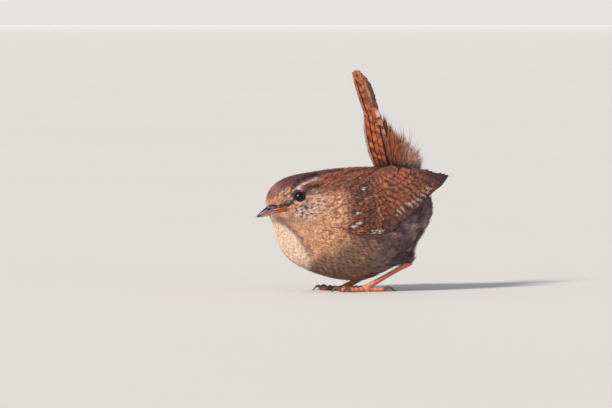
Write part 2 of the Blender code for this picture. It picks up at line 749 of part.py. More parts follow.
def build_toe(name, start, ahead, length, collection):
    """A toe with its pads, and the point where its claw grows."""
    points = [Vector((start.x, start.y, TOE_SOLE + z)) + ahead * (length * s) for s, z, _ in TOE_PROFILE]
    return tube(name, points, [radius for _, _, radius in TOE_PROFILE], collection), points[-1]


def build_claw(name, base, ahead, length, collection):
    """An arched claw, tapered to its tip."""
    points, radii = [], []
    for s in (0.0, 0.2, 0.45, 0.7, 0.9, 1.0):
        rise = CLAW_ARCH * math.sin(math.pi * min(1.0, s * 1.15)) - 0.55 * CLAW_ARCH * s * s
        points.append(base + ahead * (length * 0.88 * s) + Vector((0, 0, rise)))
        radii.append(CLAW_RADIUS * (1 - s) ** 0.8 + 0.07)
    return tube(name, points, radii, collection, 1)


def build_leg(word, trunk, parts, tools):
    """One leg: feathered thigh, bare shank, foot of four toes, and a claw on each toe."""
    side = SIDES[word]
    step = FOOT_X[word] - sum(FOOT_X.values()) / len(FOOT_X)
    heel = Vector((HEEL[0] + HEEL_SHIFT * step, side * HEEL[1], HEEL[2]))
    hip = Vector((THIGH_TOP[0], side * THIGH_TOP[1], THIGH_TOP[2]))
    ankle = Vector((FOOT_X[word], side * FOOT_Y, ANKLE_Z))
    thigh_points = [hip + (heel - hip) * s for s, _ in THIGH_PROFILE]
    thigh = tube(f"thigh_{word}", thigh_points, [radius for _, radius in THIGH_PROFILE], parts, 3)
    cleared(thigh, swollen(trunk, GAP, tools))
    toes, claws = [], []
    for toe, (heading, length) in TOES.items():
        turn = math.radians(heading)
        ahead = Vector((-math.cos(turn), -side * math.sin(turn), 0))
        made, base = build_toe(f"toe_{toe}", ankle, ahead, length, tools)
        toes.append(made)
        claws.append(build_claw(f"claw_{toe}_{word}", base, ahead, CLAW_LENGTH[toe], parts))
    foot = united(ball(f"foot_{word}", (ankle.x, ankle.y, FOOT_PAD_Z), FOOT_PAD, parts, 14, 8), toes)
    below = prism("below", ((-60, -20), (60, -20), (60, 0), (-60, 0)), -60, 60, tools)
    boolean(foot, below, "DIFFERENCE")
    for claw in claws:
        boolean(claw, below, "DIFFERENCE")
        cleared(claw, swollen(foot, GAP, tools))
    drop(below)
    shank_points = [heel.lerp(ankle, s) for s, _ in SHANK_PROFILE]
    shank = tube(f"shank_{word}", shank_points, [radius for _, radius in SHANK_PROFILE], parts)
    cleared(shank, swollen(foot, GAP, tools), swollen(thigh, GAP, tools), swollen(trunk, GAP, tools))
    return [thigh, shank, foot, *claws]


def centre_on_floor(objects):
    """Moves everything so that the origin is the middle of its box, at floor level."""
    corners = [v.co for obj in objects for v in obj.data.vertices]
    shift = -Vector((
        (min(c.x for c in corners) + max(c.x for c in corners)) / 2,
        (min(c.y for c in corners) + max(c.y for c in corners)) / 2,
        min(c.z for c in corners),
    ))
    for obj in objects:
        for v in obj.data.vertices:
            v.co += shift
    return shift


def finish(obj, name, colour, roughness):
    """Gives the object its material and smooth shading."""
    obj.data.materials.clear()
    obj.data.materials.append(material(name, colour, roughness))
    obj.data.shade_smooth()
    obj.data.set_sharp_from_angle(angle=math.radians(35))


def main():
    """Builds the wren."""
    for obj in list(bpy.data.objects):
        bpy.data.objects.remove(obj)
    parts = bpy.data.collections.new("wren")
    tools = bpy.data.collections.new("tools")
    for collection in (parts, tools):
        bpy.context.scene.collection.children.link(collection)

    trunk = oval_loft("trunk", TRUNK_RINGS, TRUNK_STEPS, TRUNK_AROUND, tools)
    bm = bmesh.new()
    bm.from_mesh(trunk.data)
    tree = BVHTree.FromBMesh(bm)
    bm.free()

    head, neck, torso = part_trunk(trunk, tree, parts, tools)
    mandibles = build_bill(trunk, parts, tools)
    eyes = [build_eye(word, tree, parts) for word in SIDES]
    tail, tail_room = build_tail(trunk, parts, tools)
    undertail = build_undertail(trunk, tail_room, parts, tools)
    wings = [build_wing(word, trunk, tree, parts, tools) for word in SIDES]
    for wing in wings:
        cleared(wing, swollen(undertail, GAP, tools), swollen(tail, GAP, tools))
    legs = [obj for word in SIDES for obj in build_leg(word, trunk, parts, tools)]
    drop(trunk)
    bpy.data.collections.remove(tools)

    for obj in (head, neck, torso):
        finish(obj, "plumage", PLUMAGE_BROWN, 0.9)
    for obj, colour in zip(mandibles, (HORN, MANDIBLE)):
        finish(obj, obj.name, colour, 0.35)
    for obj in eyes:
        finish(obj, "eye", EYE_BLACK, 0.05)
    for obj in (*wings, tail):
        finish(obj, "flight_feathers", RUFOUS, 0.75)
    finish(undertail, "down", BUFF, 0.9)
    for obj in legs:
        if obj.name.startswith("thigh"):
            finish(obj, "plumage", PLUMAGE_BROWN, 0.9)
        elif obj.name.startswith("claw"):
            finish(obj, "claw", HORN, 0.3)
        else:
            finish(obj, "leg_skin", FLESH, 0.5)
    centre_on_floor(list(parts.objects))


main()
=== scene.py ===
"""Looks of the still wren: one skin under a coat of fine feathers, the folded wings in tiers, the barred
tail with the loose coverts under it, eyes, bill, legs and claws, and the studio that shows them.

Sizes are millimetres in the drawing of the bird, which faces -X with its left side towards -Y. A finished
piece is written in metres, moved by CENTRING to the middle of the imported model's box.
"""

import itertools
import logging
import math
from dataclasses import dataclass, field
from enum import Enum
from typing import Any, Iterable, Protocol, Sequence

import bmesh
import bpy
import numpy as np
from mathutils import Euler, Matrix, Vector
from mathutils.bvhtree import BVHTree


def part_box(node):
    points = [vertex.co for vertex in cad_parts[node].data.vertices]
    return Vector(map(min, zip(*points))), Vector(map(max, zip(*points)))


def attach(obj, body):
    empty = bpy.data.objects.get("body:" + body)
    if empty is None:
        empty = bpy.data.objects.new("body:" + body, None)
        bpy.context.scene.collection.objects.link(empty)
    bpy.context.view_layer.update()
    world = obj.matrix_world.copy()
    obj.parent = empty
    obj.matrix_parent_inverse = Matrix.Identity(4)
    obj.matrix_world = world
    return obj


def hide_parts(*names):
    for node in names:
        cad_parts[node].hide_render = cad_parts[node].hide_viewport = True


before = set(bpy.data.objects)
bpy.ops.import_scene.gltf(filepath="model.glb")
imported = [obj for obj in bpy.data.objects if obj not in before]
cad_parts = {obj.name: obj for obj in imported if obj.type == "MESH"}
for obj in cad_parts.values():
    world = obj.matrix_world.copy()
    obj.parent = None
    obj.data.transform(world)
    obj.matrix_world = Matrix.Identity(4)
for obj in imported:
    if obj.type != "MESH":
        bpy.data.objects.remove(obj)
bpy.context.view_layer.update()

log = logging.getLogger("wren")
Array = np.ndarray

MM = 0.001
CENTRING = np.array((1.2, 0.0, 0.0))
SIDES = {"left": -1.0, "right": 1.0}
EYE_AT = (-21.5, 34.1)  # where the eye shows, in the side view
PIECE_LIMIT = 190_000  # triangles in one piece of the coat
PATCH = 0.003  # width of one tuft's patch on the unwrap of the skin
BAKE_MAP = "OFBake"
VANE_MAP = "vane"  # millimetres along and across a vane
COLOUR_LAYER = "plumage"
UP = Vector((0, 0, 1))
WING_SEEDS = {"left": 31, "right": 32}
FLESH_DEPTHS = (0.0012, 0.0005, 0.0003)  # how deep red, green and blue light go into skin, in metres


# Numbers and curves


def mix(a: Array, b: Array, t: Array) -> Array:
    """The value a share t of the way from a to b."""
    return a + (b - a) * t


def unit(v: Array) -> Array:
    """Vectors of length one in the same directions."""
    return v / np.maximum(np.linalg.norm(v, axis=-1, keepdims=True), 1e-9)


def over(base: Array, top: Array, weight: Array) -> Array:
    """Colours with another colour laid over them, by one weight for each place."""
    return mix(base, top, np.clip(weight, 0, 1)[..., None])


def soft_step(low: float, high: float, value: Array) -> Array:
    """0 below low and 1 above high, with a smooth rise between them."""
    t = np.clip((value - low) / (high - low), 0.0, 1.0)
    return t * t * (3 - 2 * t)


def blob(p: Array, centre: tuple[float, float], radii: tuple[float, float]) -> Array:
    """A soft spot in the side view.

    Args:
        p: Points, as rows of x, y and z.
        centre: Its middle, x and z.
        radii: How far it reaches along x and z.

    Returns:
        1 at its middle, falling smoothly to 0.
    """
    return np.exp(-(((p[:, 0] - centre[0]) / radii[0]) ** 2) - ((p[:, 2] - centre[1]) / radii[1]) ** 2)


def line_distance(p: Array, line: Sequence[tuple[float, float]]) -> Array:
    """How far points lie from a broken line in the side view.

    Args:
        p: Points, as rows of x, y and z.
        line: The line's corners, x and z.

    Returns:
        The distance of each point.
    """
    xz = p[:, (0, 2)]
    nearest = np.full(len(p), np.inf)
    for a, b in zip(line, line[1:]):
        start, run = np.array(a), np.array(b) - np.array(a)
        t = np.clip(((xz - start) @ run) / (run @ run), 0, 1)
        nearest = np.minimum(nearest, np.linalg.norm(xz - start - t[:, None] * run, axis=1))
    return nearest


def noise(p: Array, scale: float | tuple[float, float, float], seed: int) -> Array:
    """Smooth noise between 0 and 1.

    Args:
        p: Points, as rows of x, y and z.
        scale: Size of its grain, one number or one for each axis.
        seed: Which noise.

    Returns:
        One value for each point.
    """
    q = p / np.array(scale) + seed * 37.7
    cell = np.floor(q).astype(np.int64)
    f = q - cell
    f = f * f * (3 - 2 * f)
    total = np.zeros(len(p))
    for corner in itertools.product((0, 1), repeat=3):
        c = cell + np.array(corner)
        h = (c[:, 0] * 374761393 + c[:, 1] * 668265263 + c[:, 2] * 1274126177 + seed * 97) & 0xFFFFFFFF
        h = ((h ^ (h >> 13)) * 1103515245) & 0xFFFFFFFF
        value = ((h ^ (h >> 16)) & 0xFFFF) / 65535
        total += value * np.prod(np.where(corner, f, 1 - f), axis=1)
    return total


def curve_through(rows: Sequence[Sequence[float]], steps: int) -> Array:
    """A smooth curve through rows of numbers.

    Args:
        rows: The numbers that it passes through.
        steps: How many rows to make for each span.

    Returns:
        The rows of the finer table.
    """
    r = np.array(rows, float)
    out = []
    for i in range(len(r) - 1):
        a, b, c, d = r[max(i - 1, 0)], r[i], r[i + 1], r[min(i + 2, len(r) - 1)]
        for k in range(steps):
            t = k / steps
            out.append(0.5 * (2 * b + (c - a) * t + (2 * a - 5 * b + 4 * c - d) * t**2
                              + (3 * b - a - 3 * c + d) * t**3))
    return np.array(out + [r[-1]])


def look_up(table: Sequence[tuple[float, float]], t: Array) -> Array:
    """The value of a two-column table at t."""
    return np.interp(t, [row[0] for row in table], [row[1] for row in table])


def srgb(red: int, green: int, blue: int) -> Array:
    """A colour of 0 to 255 on a screen, as linear light."""
    c = np.array((red, green, blue)) / 255
    return np.where(c <= 0.04045, c / 12.92, ((c + 0.055) / 1.055) ** 2.4)


def tone(red: int, green: int, blue: int) -> Array:
    """A screen colour as the default of a field."""
    return field(default_factory=lambda: srgb(red, green, blue))


def inside(x: Array, z: Array, corners: Sequence[tuple[float, float]]) -> Array:
    """Which places lie inside a polygon in the side view."""
    found = np.zeros(np.shape(x), bool)
    for (ax, az), (bx, bz) in zip(corners, corners[1:] + corners[:1]):
        at = ax + (z - az) * (bx - ax) / ((bz - az) if bz != az else 1e-9)
        found ^= ((az > z) != (bz > z)) & (x < at)
    return found


# Finishes


def add_node(tree: bpy.types.NodeTree, kind: str, inputs: dict[str, Any] | None = None) -> bpy.types.Node:
    """Adds a node to a material.

    Args:
        tree: The material's nodes.
        kind: The node's type.
        inputs: Values for some of its inputs, by name.

    Returns:
        The new node.
    """
    node = tree.nodes.new(kind)
    for name, value in (inputs or {}).items():
        node.inputs[name].default_value = value
    return node


@dataclass(frozen=True)
class Finish:
    """A surface: its colour comes from the piece's own colour attribute, broken up by fine noise."""

    name: str
    roughness: float
    specular: float = 0.5
    sheen: float = 0.0
    coat: float = 0.0
    subsurface: float = 0.0
    grain: float = 900.0
    grain_depth: float = 0.0002
    variation: float = 0.25
    barbs: bool = False

    def material(self) -> bpy.types.Material:
        """The node material, made once."""
        return bpy.data.materials.get(self.name) or self._make()

    def _make(self) -> bpy.types.Material:
        """Builds the material's nodes.

        Returns:
            The new material.
        """
        made = bpy.data.materials.new(self.name)
        made.use_nodes = True
        tree = made.node_tree
        tree.nodes.clear()
        link = tree.links.new
        out = add_node(tree, "ShaderNodeOutputMaterial")
        shader = add_node(tree, "ShaderNodeBsdfPrincipled", {
            "Specular IOR Level": self.specular, "Sheen Weight": self.sheen, "Sheen Roughness": 0.4,
            "Coat Weight": self.coat, "Coat Roughness": 0.04, "Subsurface Weight": self.subsurface,
            "Subsurface Radius": FLESH_DEPTHS, "Subsurface Scale": 1.0})
        link(shader.outputs["BSDF"], out.inputs["Surface"])
        colour = add_node(tree, "ShaderNodeAttribute")
        colour.attribute_name = COLOUR_LAYER
        place = add_node(tree, "ShaderNodeTexCoord")
        speckle = add_node(tree, "ShaderNodeTexNoise", {"Scale": self.grain, "Detail": 3.0})
        link(place.outputs["Object"], speckle.inputs["Vector"])
        spread = add_node(tree, "ShaderNodeMapRange",
                          {"To Min": 1 - self.variation, "To Max": 1 + self.variation})
        link(speckle.outputs["Fac"], spread.inputs["Value"])
        tint = add_node(tree, "ShaderNodeVectorMath")
        tint.operation = "SCALE"
        link(colour.outputs["Color"], tint.inputs[0])
        link(spread.outputs["Result"], tint.inputs["Scale"])
        link(tint.outputs["Vector"], shader.inputs["Base Color"])
        low, high = max(0.0, self.roughness - 0.1), min(1.0, self.roughness + 0.1)
        shine = add_node(tree, "ShaderNodeMapRange", {"To Min": low, "To Max": high})
        link(speckle.outputs["Fac"], shine.inputs["Value"])
        link(shine.outputs["Result"], shader.inputs["Roughness"])
        bump = add_node(tree, "ShaderNodeBump", {"Distance": self.grain_depth, "Strength": 0.6})
        link(self._relief(tree, speckle), bump.inputs["Height"])
        link(bump.outputs["Normal"], shader.inputs["Normal"])
        return made

    def _relief(self, tree: bpy.types.NodeTree, speckle: bpy.types.Node) -> bpy.types.NodeSocket:
        """Height of the surface's fine relief.

        Args:
            tree: The material's nodes.
            speckle: The noise that other finishes take their relief from.

        Returns:
            The socket that gives the height.
        """
        if not self.barbs:
            return speckle.outputs["Fac"]
        vane = add_node(tree, "ShaderNodeUVMap")
        vane.uv_map = VANE_MAP
        ribs = add_node(tree, "ShaderNodeTexWave", {"Scale": 0.9, "Distortion": 1.2, "Detail": 2.0})
        ribs.bands_direction = "X"
        tree.links.new(vane.outputs["UV"], ribs.inputs["Vector"])
        return ribs.outputs["Fac"]


COAT = Finish("soft_feathers", roughness=0.72, specular=0.22, sheen=0.22, grain=3600, variation=0.12,
              grain_depth=0.00003)
VANES = Finish("flight_vanes", roughness=0.52, specular=0.4, sheen=0.12, grain=1200, variation=0.2,
               grain_depth=0.00006, barbs=True)
SKIN = Finish("feather_bases", roughness=0.8, specular=0.2, sheen=0.1, grain=1800, variation=0.3)
HORN = Finish("bill_horn", roughness=0.42, specular=0.35, coat=0.08, grain=1600, variation=0.16,
              grain_depth=0.00003)
CLAW = Finish("claw_horn", roughness=0.34, specular=0.5, coat=0.15, grain=2200, variation=0.2,
              grain_depth=0.00002)
LEG = Finish("leg_scutes", roughness=0.42, specular=0.45, coat=0.08, subsurface=0.15, grain=1700,
             variation=0.14, grain_depth=0.00004)
GAPE = Finish("soft_gape", roughness=0.35, specular=0.5, subsurface=0.2, grain=2500, variation=0.12,
              grain_depth=0.00002)
EYE = Finish("eye_gloss", roughness=0.22, specular=0.18, coat=0.06, grain=2500, variation=0.1,
             grain_depth=0.0)
LID = Finish("lid_skin", roughness=0.6, specular=0.3, grain=3500, variation=0.2, grain_depth=0.00003)


# Meshes


def place_piece(mesh: bpy.types.Mesh, finish: Finish, nodes: Iterable[str]) -> bpy.types.Object:
    """Makes a finished mesh, already in metres, a piece of the bird.

    Args:
        mesh: The mesh, whose name the piece takes.
        finish: Its surface.
        nodes: The CAD nodes that it stands for.

    Returns:
        The piece.
    """
    piece = bpy.data.objects.new(mesh.name, mesh)
    bpy.context.scene.collection.objects.link(piece)
    mesh.materials.append(finish.material())
    mesh.shade_smooth()
    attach(piece, "root")
    names = list(nodes)
    if names:
        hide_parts(*names)
    log.info("%s: %d faces, in place of %s", mesh.name, len(mesh.polygons), ", ".join(names) or "nothing")
    return piece


def paint(mesh: bpy.types.Mesh, colours: Array) -> None:
    """Writes one colour a vertex, which the finishes read."""
    layer = mesh.color_attributes.new(COLOUR_LAYER, "FLOAT_COLOR", "POINT")
    rgba = np.concatenate((np.clip(colours, 0, 1), np.ones((len(colours), 1))), axis=1)
    layer.data.foreach_set("color", rgba.astype(np.float32).ravel())


def to_metres(points: Array) -> Array:
    """Points of the drawing as points of the finished model."""
    return (points + CENTRING) * MM


@dataclass
class MeshArrays:
    """Many small closed shapes gathered into one mesh."""

    points: list[Array] = field(default_factory=list)
    faces: list[Array] = field(default_factory=list)
    colours: list[Array] = field(default_factory=list)
    patches: list[Array] = field(default_factory=list)
    vanes: list[Array] = field(default_factory=list)
    count: int = 0

    def add(self, points: Array, faces: Array, colours: Array, patches: Array, vanes: Array) -> None:
        """Adds one batch of shapes.

        Args:
            points: Their vertices.
            faces: Rows of three or four vertex numbers, counted inside the batch.
            colours: A colour for each vertex.
            patches: Each vertex's place on the baking map.
            vanes: Each vertex's place along and across its own vane, in millimetres.
        """
        self.points.append(points)
        self.faces.append(faces + self.count)
        self.colours.append(colours)
        self.patches.append(patches)
        self.vanes.append(vanes)
        self.count += len(points)

    def mesh(self, name: str) -> bpy.types.Mesh:
        """Joins the batches.

        Args:
            name: The new mesh's name.

        Returns:
            The mesh, in metres, with its colours and two UV maps.
        """
        loops = np.concatenate([f.ravel() for f in self.faces]).astype(np.int32)
        sizes = np.concatenate([np.full(len(f), f.shape[1]) for f in self.faces]).astype(np.int32)
        made = bpy.data.meshes.new(name)
        made.vertices.add(self.count)
        made.vertices.foreach_set("co", to_metres(np.concatenate(self.points)).astype(np.float32).ravel())
        made.loops.add(len(loops))
        made.loops.foreach_set("vertex_index", loops)
        made.polygons.add(len(sizes))
        starts = np.concatenate(([0], np.cumsum(sizes)[:-1]))
        made.polygons.foreach_set("loop_start", starts.astype(np.int32))
        made.polygons.foreach_set("loop_total", sizes)
        made.update(calc_edges=True)
        for layer_name, values in ((BAKE_MAP, self.patches), (VANE_MAP, self.vanes)):
            layer = made.uv_layers.new(name=layer_name)
            layer.data.foreach_set("uv", np.concatenate(values)[loops].astype(np.float32).ravel())
        paint(made, np.concatenate(self.colours))
        return made


def loft(rings: Sequence[Array]) -> tuple[bmesh.types.BMesh, list[tuple[int, int]]]:
    """A closed skin over rings of equal size, made by extruding one circle from ring to ring.

    Args:
        rings: The rings' points, in millimetres.

    Returns:
        The unwrapped bmesh, and for each vertex its ring and its place round the ring.
    """
    bm = bmesh.new()
    count = len(rings[0])
    bmesh.ops.create_circle(bm, cap_ends=False, segments=count, radius=1.0)
    bm.verts.ensure_lookup_table()
    row = list(bm.verts)
    rows = [row]
    edges = first = list(bm.edges)
    for _ in rings[1:]:
        made = bmesh.ops.extrude_edge_only(bm, edges=edges)["geom"]
        fresh = {v for v in made if isinstance(v, bmesh.types.BMVert)}
        row = [next(e.other_vert(v) for e in v.link_edges if e.other_vert(v) in fresh) for v in row]
        rows.append(row)
        edges = [e for e in made if isinstance(e, bmesh.types.BMEdge) and e.verts[0] in fresh
                 and e.verts[1] in fresh]
    for ring, line in zip(rings, rows):
        for point, v in zip(to_metres(np.asarray(ring)), line):
            v.co = Vector(point)
    bmesh.ops.edgeloop_fill(bm, edges=first)
    bmesh.ops.edgeloop_fill(bm, edges=edges)
    bmesh.ops.recalc_face_normals(bm, faces=bm.faces)
    bm.verts.index_update()
    where = {v.index: (i, j) for i, line in enumerate(rows) for j, v in enumerate(line)}
    places = [where[k] for k in range(len(where))]
    unwrap(bm, places, len(rings), count)
    return bm, places


def unwrap(bm: bmesh.types.BMesh, places: list[tuple[int, int]], rings: int, around: int) -> None:
    """Writes a UV map that runs round each ring and from the first ring to the last.

    Args:
        bm: The lofted skin.
        places: Ring and place of each vertex.
        rings: How many rings it has.
        around: How many points a ring has.
    """
    layer = bm.loops.layers.uv.new(BAKE_MAP)
    for face in bm.faces:
        columns = [places[v.index][1] for v in face.verts]
        wraps = max(columns) - min(columns) > around / 2
        for loop in face.loops:
            i, j = places[loop.vert.index]
            u = (j + (around if wraps and j == 0 else 0)) / around
            loop[layer].uv = (u, i / (rings - 1))


def finished_mesh(bm: bmesh.types.BMesh, name: str, colours: Array) -> bpy.types.Mesh:
    """Turns a bmesh into a painted mesh.

    Args:
        bm: The shape, in metres. It is freed.
        name: The mesh's name.
        colours: One colour for all of it, or one for each vertex.

    Returns:
        The mesh.
    """
    made = bpy.data.meshes.new(name)
    bm.to_mesh(made)
    bm.free()
    rows = np.broadcast_to(colours, (len(made.vertices), 3)) if np.ndim(colours) == 1 else colours
    paint(made, rows)
    return made


def round_rings(points: Array, radii: Array, around: int, squash: float = 1.0) -> list[Array]:
    """Rings round a path, for a limb, toe or claw.

    Args:
        points: The path.
        radii: The radius at each point.
        around: Points in each ring.
        squash: Height of the section as a share of its width.

    Returns:
        The rings, each starting at the top of the section.
    """
    ahead = unit(np.gradient(points, axis=0))
    side = unit(np.cross(ahead, (0.0, 0.0, 1.0)))
    up = np.cross(side, ahead)
    turn = np.linspace(0, 2 * np.pi, around, endpoint=False)
    return [p + r * (np.outer(np.cos(turn), u) * squash + np.outer(np.sin(turn), s))
            for p, r, u, s in zip(points, radii, up, side)]


class Surface:
    """A surface to lay feathers on."""

    def __init__(self, points: Array, faces: Array) -> None:
        """Keeps the surface for searching."""
        self.tree = BVHTree.FromPolygons(points.tolist(), faces.tolist())

    def nearest(self, points: Array) -> tuple[Array, Array]:
        """Nearest places on the surface.

        Args:
            points: Where to search from.

        Returns:
            The places, and the surface's outward directions there.
        """
        found = [self.tree.find_nearest(p) for p in points.reshape(-1, 3).tolist()]
        places = np.array([f[0] for f in found]).reshape(points.shape)
        normals = np.array([f[1] for f in found]).reshape(points.shape)
        return places, normals


def grid_faces(rows: int, columns: int, closed: bool) -> Array:
    """Faces of a grid of points.

    Args:
        rows: Its rows.
        columns: Points in each row.
        closed: Whether each row runs round to its start.

    Returns:
        Rows of four vertex numbers.
    """
    i, j = np.meshgrid(np.arange(rows - 1), np.arange(columns if closed else columns - 1), indexing="ij")
    k = (j + 1) % columns
    return np.stack((i * columns + j, (i + 1) * columns + j, (i + 1) * columns + k, i * columns + k),
                    axis=-1).reshape(-1, 4)


# The bird's markings, shared by skin and coat


class Plumage(Protocol):
    """Colours of feathers, place by place."""

    def at(self, p: Array, along: Array) -> Array:
        """A linear colour for each point."""


@dataclass(frozen=True)
class Markings:
    """Colours of the plumage, with painted shade in the throat's crease and towards the feathers' roots, and
    where they lie in the side view of the body.
    """

    crown: Array = tone(124, 78, 84)
    forehead: Array = tone(178, 120, 110)
    bristle: Array = tone(246, 208, 180)
    back: Array = tone(176, 108, 80)
    back_dark: Array = tone(112, 64, 52)
    brow: Array = tone(244, 226, 228)
    eye_stripe: Array = tone(56, 34, 40)
    lore: Array = tone(244, 188, 156)
    lore_dark: Array = tone(92, 48, 42)
    cheek: Array = tone(246, 200, 176)
    cheek_dark: Array = tone(66, 34, 40)
    throat: Array = tone(255, 226, 204)
    # painted shade in the crease between the throat and the side of the neck
    throat_crease_shade: Array = tone(140, 112, 102)
    breast_side: Array = tone(238, 182, 142)
    breast_streak: Array = tone(170, 112, 84)
    belly: Array = tone(166, 124, 104)
    belly_bar: Array = tone(108, 76, 66)
    belly_spot: Array = tone(200, 160, 138)
    flank: Array = tone(120, 86, 86)
    flank_dark: Array = tone(50, 34, 44)
    flank_pale: Array = tone(180, 142, 134)
    rump: Array = tone(124, 68, 50)
    eye_at: tuple[float, float] = EYE_AT
    gape_at: tuple[float, float] = (-30.6, 29.0)
    crown_edge: tuple = ((-31, 31.9), (-28, 35.2), (-24.5, 37.9), (-21, 39.3), (-17, 40.7), (-12, 42.0),
                         (-6, 43.2))
    lean: Array = field(default_factory=lambda: np.array(Euler((0.3, -0.15, 0.2)).to_matrix()))

    def at(self, p: Array, along: Array) -> Array:
        """The plumage's colour.

        Args:
            p: Points on the bird, as rows of x, y and z.
            along: How far along its feather each lies, from root to tip.

        Returns:
            A linear colour for each point.
        """
        x, z = p[:, 0], p[:, 2]
        turned = p @ self.lean
        streak = noise(turned, (6.0, 0.6, 0.6), 3)
        fine = noise(turned, 0.6, 5)
        dots = noise(turned, (1.1, 0.55, 0.55), 7)
        broad = noise(p, 3.0, 9)

        c = over(self.back, self.back_dark, soft_step(0.4, 0.7, streak))
        c = over(c, self.rump, soft_step(4, 14, x) * 0.7)
        side = over(self.breast_side, self.breast_streak,
                    soft_step(0.46, 0.74, streak) * (0.6 + 0.4 * soft_step(-17, -8, x)))
        on_side = soft_step(37.0 + 2 * broad, 32.0 + 2 * broad, z)
        on_side = on_side * soft_step(2.0, -9.0, x + 3 * (fine - 0.5))
        c = over(c, side, on_side)
        c = self._under(p, c, along, broad, fine)
        # The throat's edge follows the crease down the neck; the dark line along it and the blob under the
        # chin are painted shade
        throat_crease = np.interp(z, (8, 15, 20, 24, 28), (-16.5, -19.0, -22.5, -26.3, -30.2)) + 1.6 * (fine - 0.5)
        throat = over(self.throat, self.breast_side, soft_step(0.5, 0.8, streak) * 0.6)
        c = over(c, throat, soft_step(1.1, -1.1, x - throat_crease) * soft_step(30.5, 28.0, z))
        c = over(c, self.throat_crease_shade, np.exp(-(((x - throat_crease - 0.5) / 1.2) ** 2)) * soft_step(12, 17, z)
                 * soft_step(29.6, 27.5, z) * 0.85)
        c = over(c, self.throat_crease_shade, blob(p, (-27.6, 25.9), (2.4, 1.5)) * 0.8)
        # Each feather darkens towards its root: painted shade.
        return self._head(p, c, streak, fine, dots) * self.painted_root_shade(along)

    @staticmethod
    def painted_root_shade(along: Array) -> Array:
        """Painted shade along a feather, darkest at its root where the feathers over it shade it; it partly
        stands for the darker base of a real feather.
        """
        return (0.76 + 0.3 * along)[:, None]

    def _under(self, p: Array, c: Array, along: Array, broad: Array, fine: Array) -> Array:
        """Adds belly and flanks: faintly barred in front, loose and dark with pale bars behind."""
        x, z = p[:, 0], p[:, 2]
        bars = 0.5 + 0.5 * np.sin((x * 0.85 + z * 0.5 + 1.6 * noise(p, 1.6, 11)) * 4.2)
        below = (x + 21) * 0.56 - (z - 8.5) * 0.83 + 4.0 * (broad - 0.5)
        belly = over(self.belly, self.belly_bar, soft_step(0.5, 0.9, bars) * 0.8)
        belly = over(belly, self.belly_spot, soft_step(0.6, 0.8, fine) * soft_step(0.6, 0.3, bars) * 0.8)
        c = over(c, belly, soft_step(-2.5, 3.5, below) * soft_step(27.5, 23.5, z))
        flank = over(self.flank_dark, self.flank, soft_step(0.15, 0.6, along))
        flank = over(flank, self.flank_pale, soft_step(0.66, 0.8, along) * soft_step(0.4, 0.65, broad) * 0.8)
        flank = over(flank, self.flank_dark, soft_step(0.84, 0.97, along) * 0.7)
        clump = noise(p, (2.6, 2.6, 1.7), 13)
        flank = over(flank, self.flank_dark, soft_step(0.46, 0.3, clump) * 0.75)
        flank = over(flank, self.flank_pale, soft_step(0.6, 0.72, clump) * soft_step(0.5, 0.75, along) * 0.6)
        return over(c, flank, soft_step(3.0, 10.0, x - (z - 14) * 0.2 + 2 * broad) * soft_step(40, 34, z))

    def _head(self, p: Array, c: Array, streak: Array, fine: Array, dots: Array) -> Array:
        """Adds the marks of the head to the colours of the body."""
        x, z = p[:, 0], p[:, 2]
        ex, ez = self.eye_at
        from_eye = np.hypot(x - ex, z - ez)
        sine = (z - ez) / np.maximum(from_eye, 0.1)
        cheek = over(self.cheek, self.brow, soft_step(0.55, 0.72, dots))
        cheek = over(cheek, self.cheek_dark, soft_step(0.5, 0.36, dots))
        c = over(c, cheek, 2.0 * blob(p, (-19.8, 29.9), (3.6, 3.0)))
        ear = over(self.cheek, self.cheek_dark, soft_step(0.42, 0.62, streak) * 0.85)
        c = over(c, ear, 1.5 * blob(p, (-15.6, 33.0), (3.0, 2.8)))
        # painted shade under the cheek, beside the throat's crease
        c = over(c, self.throat_crease_shade, blob(p, (-23.2, 25.8), (3.0, 2.0)) * (0.35 + 0.4 * fine))

        ahead, above = x - self.gape_at[0], z - self.gape_at[1]
        rays = np.stack((np.arctan2(above, ahead) * 24.0, np.hypot(ahead, above) * 1.1, p[:, 1] * 0.1),
                        axis=1)
        lore = over(self.lore, self.lore_dark, soft_step(0.44, 0.64, noise(rays, 1.0, 15)) * 0.8)
        c = over(c, lore, 1.6 * blob(p, (-25.6, 34.2), (3.7, 3.3)))

        top_line = np.interp(x, *zip(*self.crown_edge))
        crown = over(self.crown, self.forehead, soft_step(-24.5, -29.0, x + fine))
        crown = over(crown, self.back_dark, soft_step(0.5, 0.75, streak) * 0.6)
        c = over(c, crown, soft_step(-0.5, 0.5, z - top_line + 0.6 * (fine - 0.5)) * soft_step(-2, -9, x))

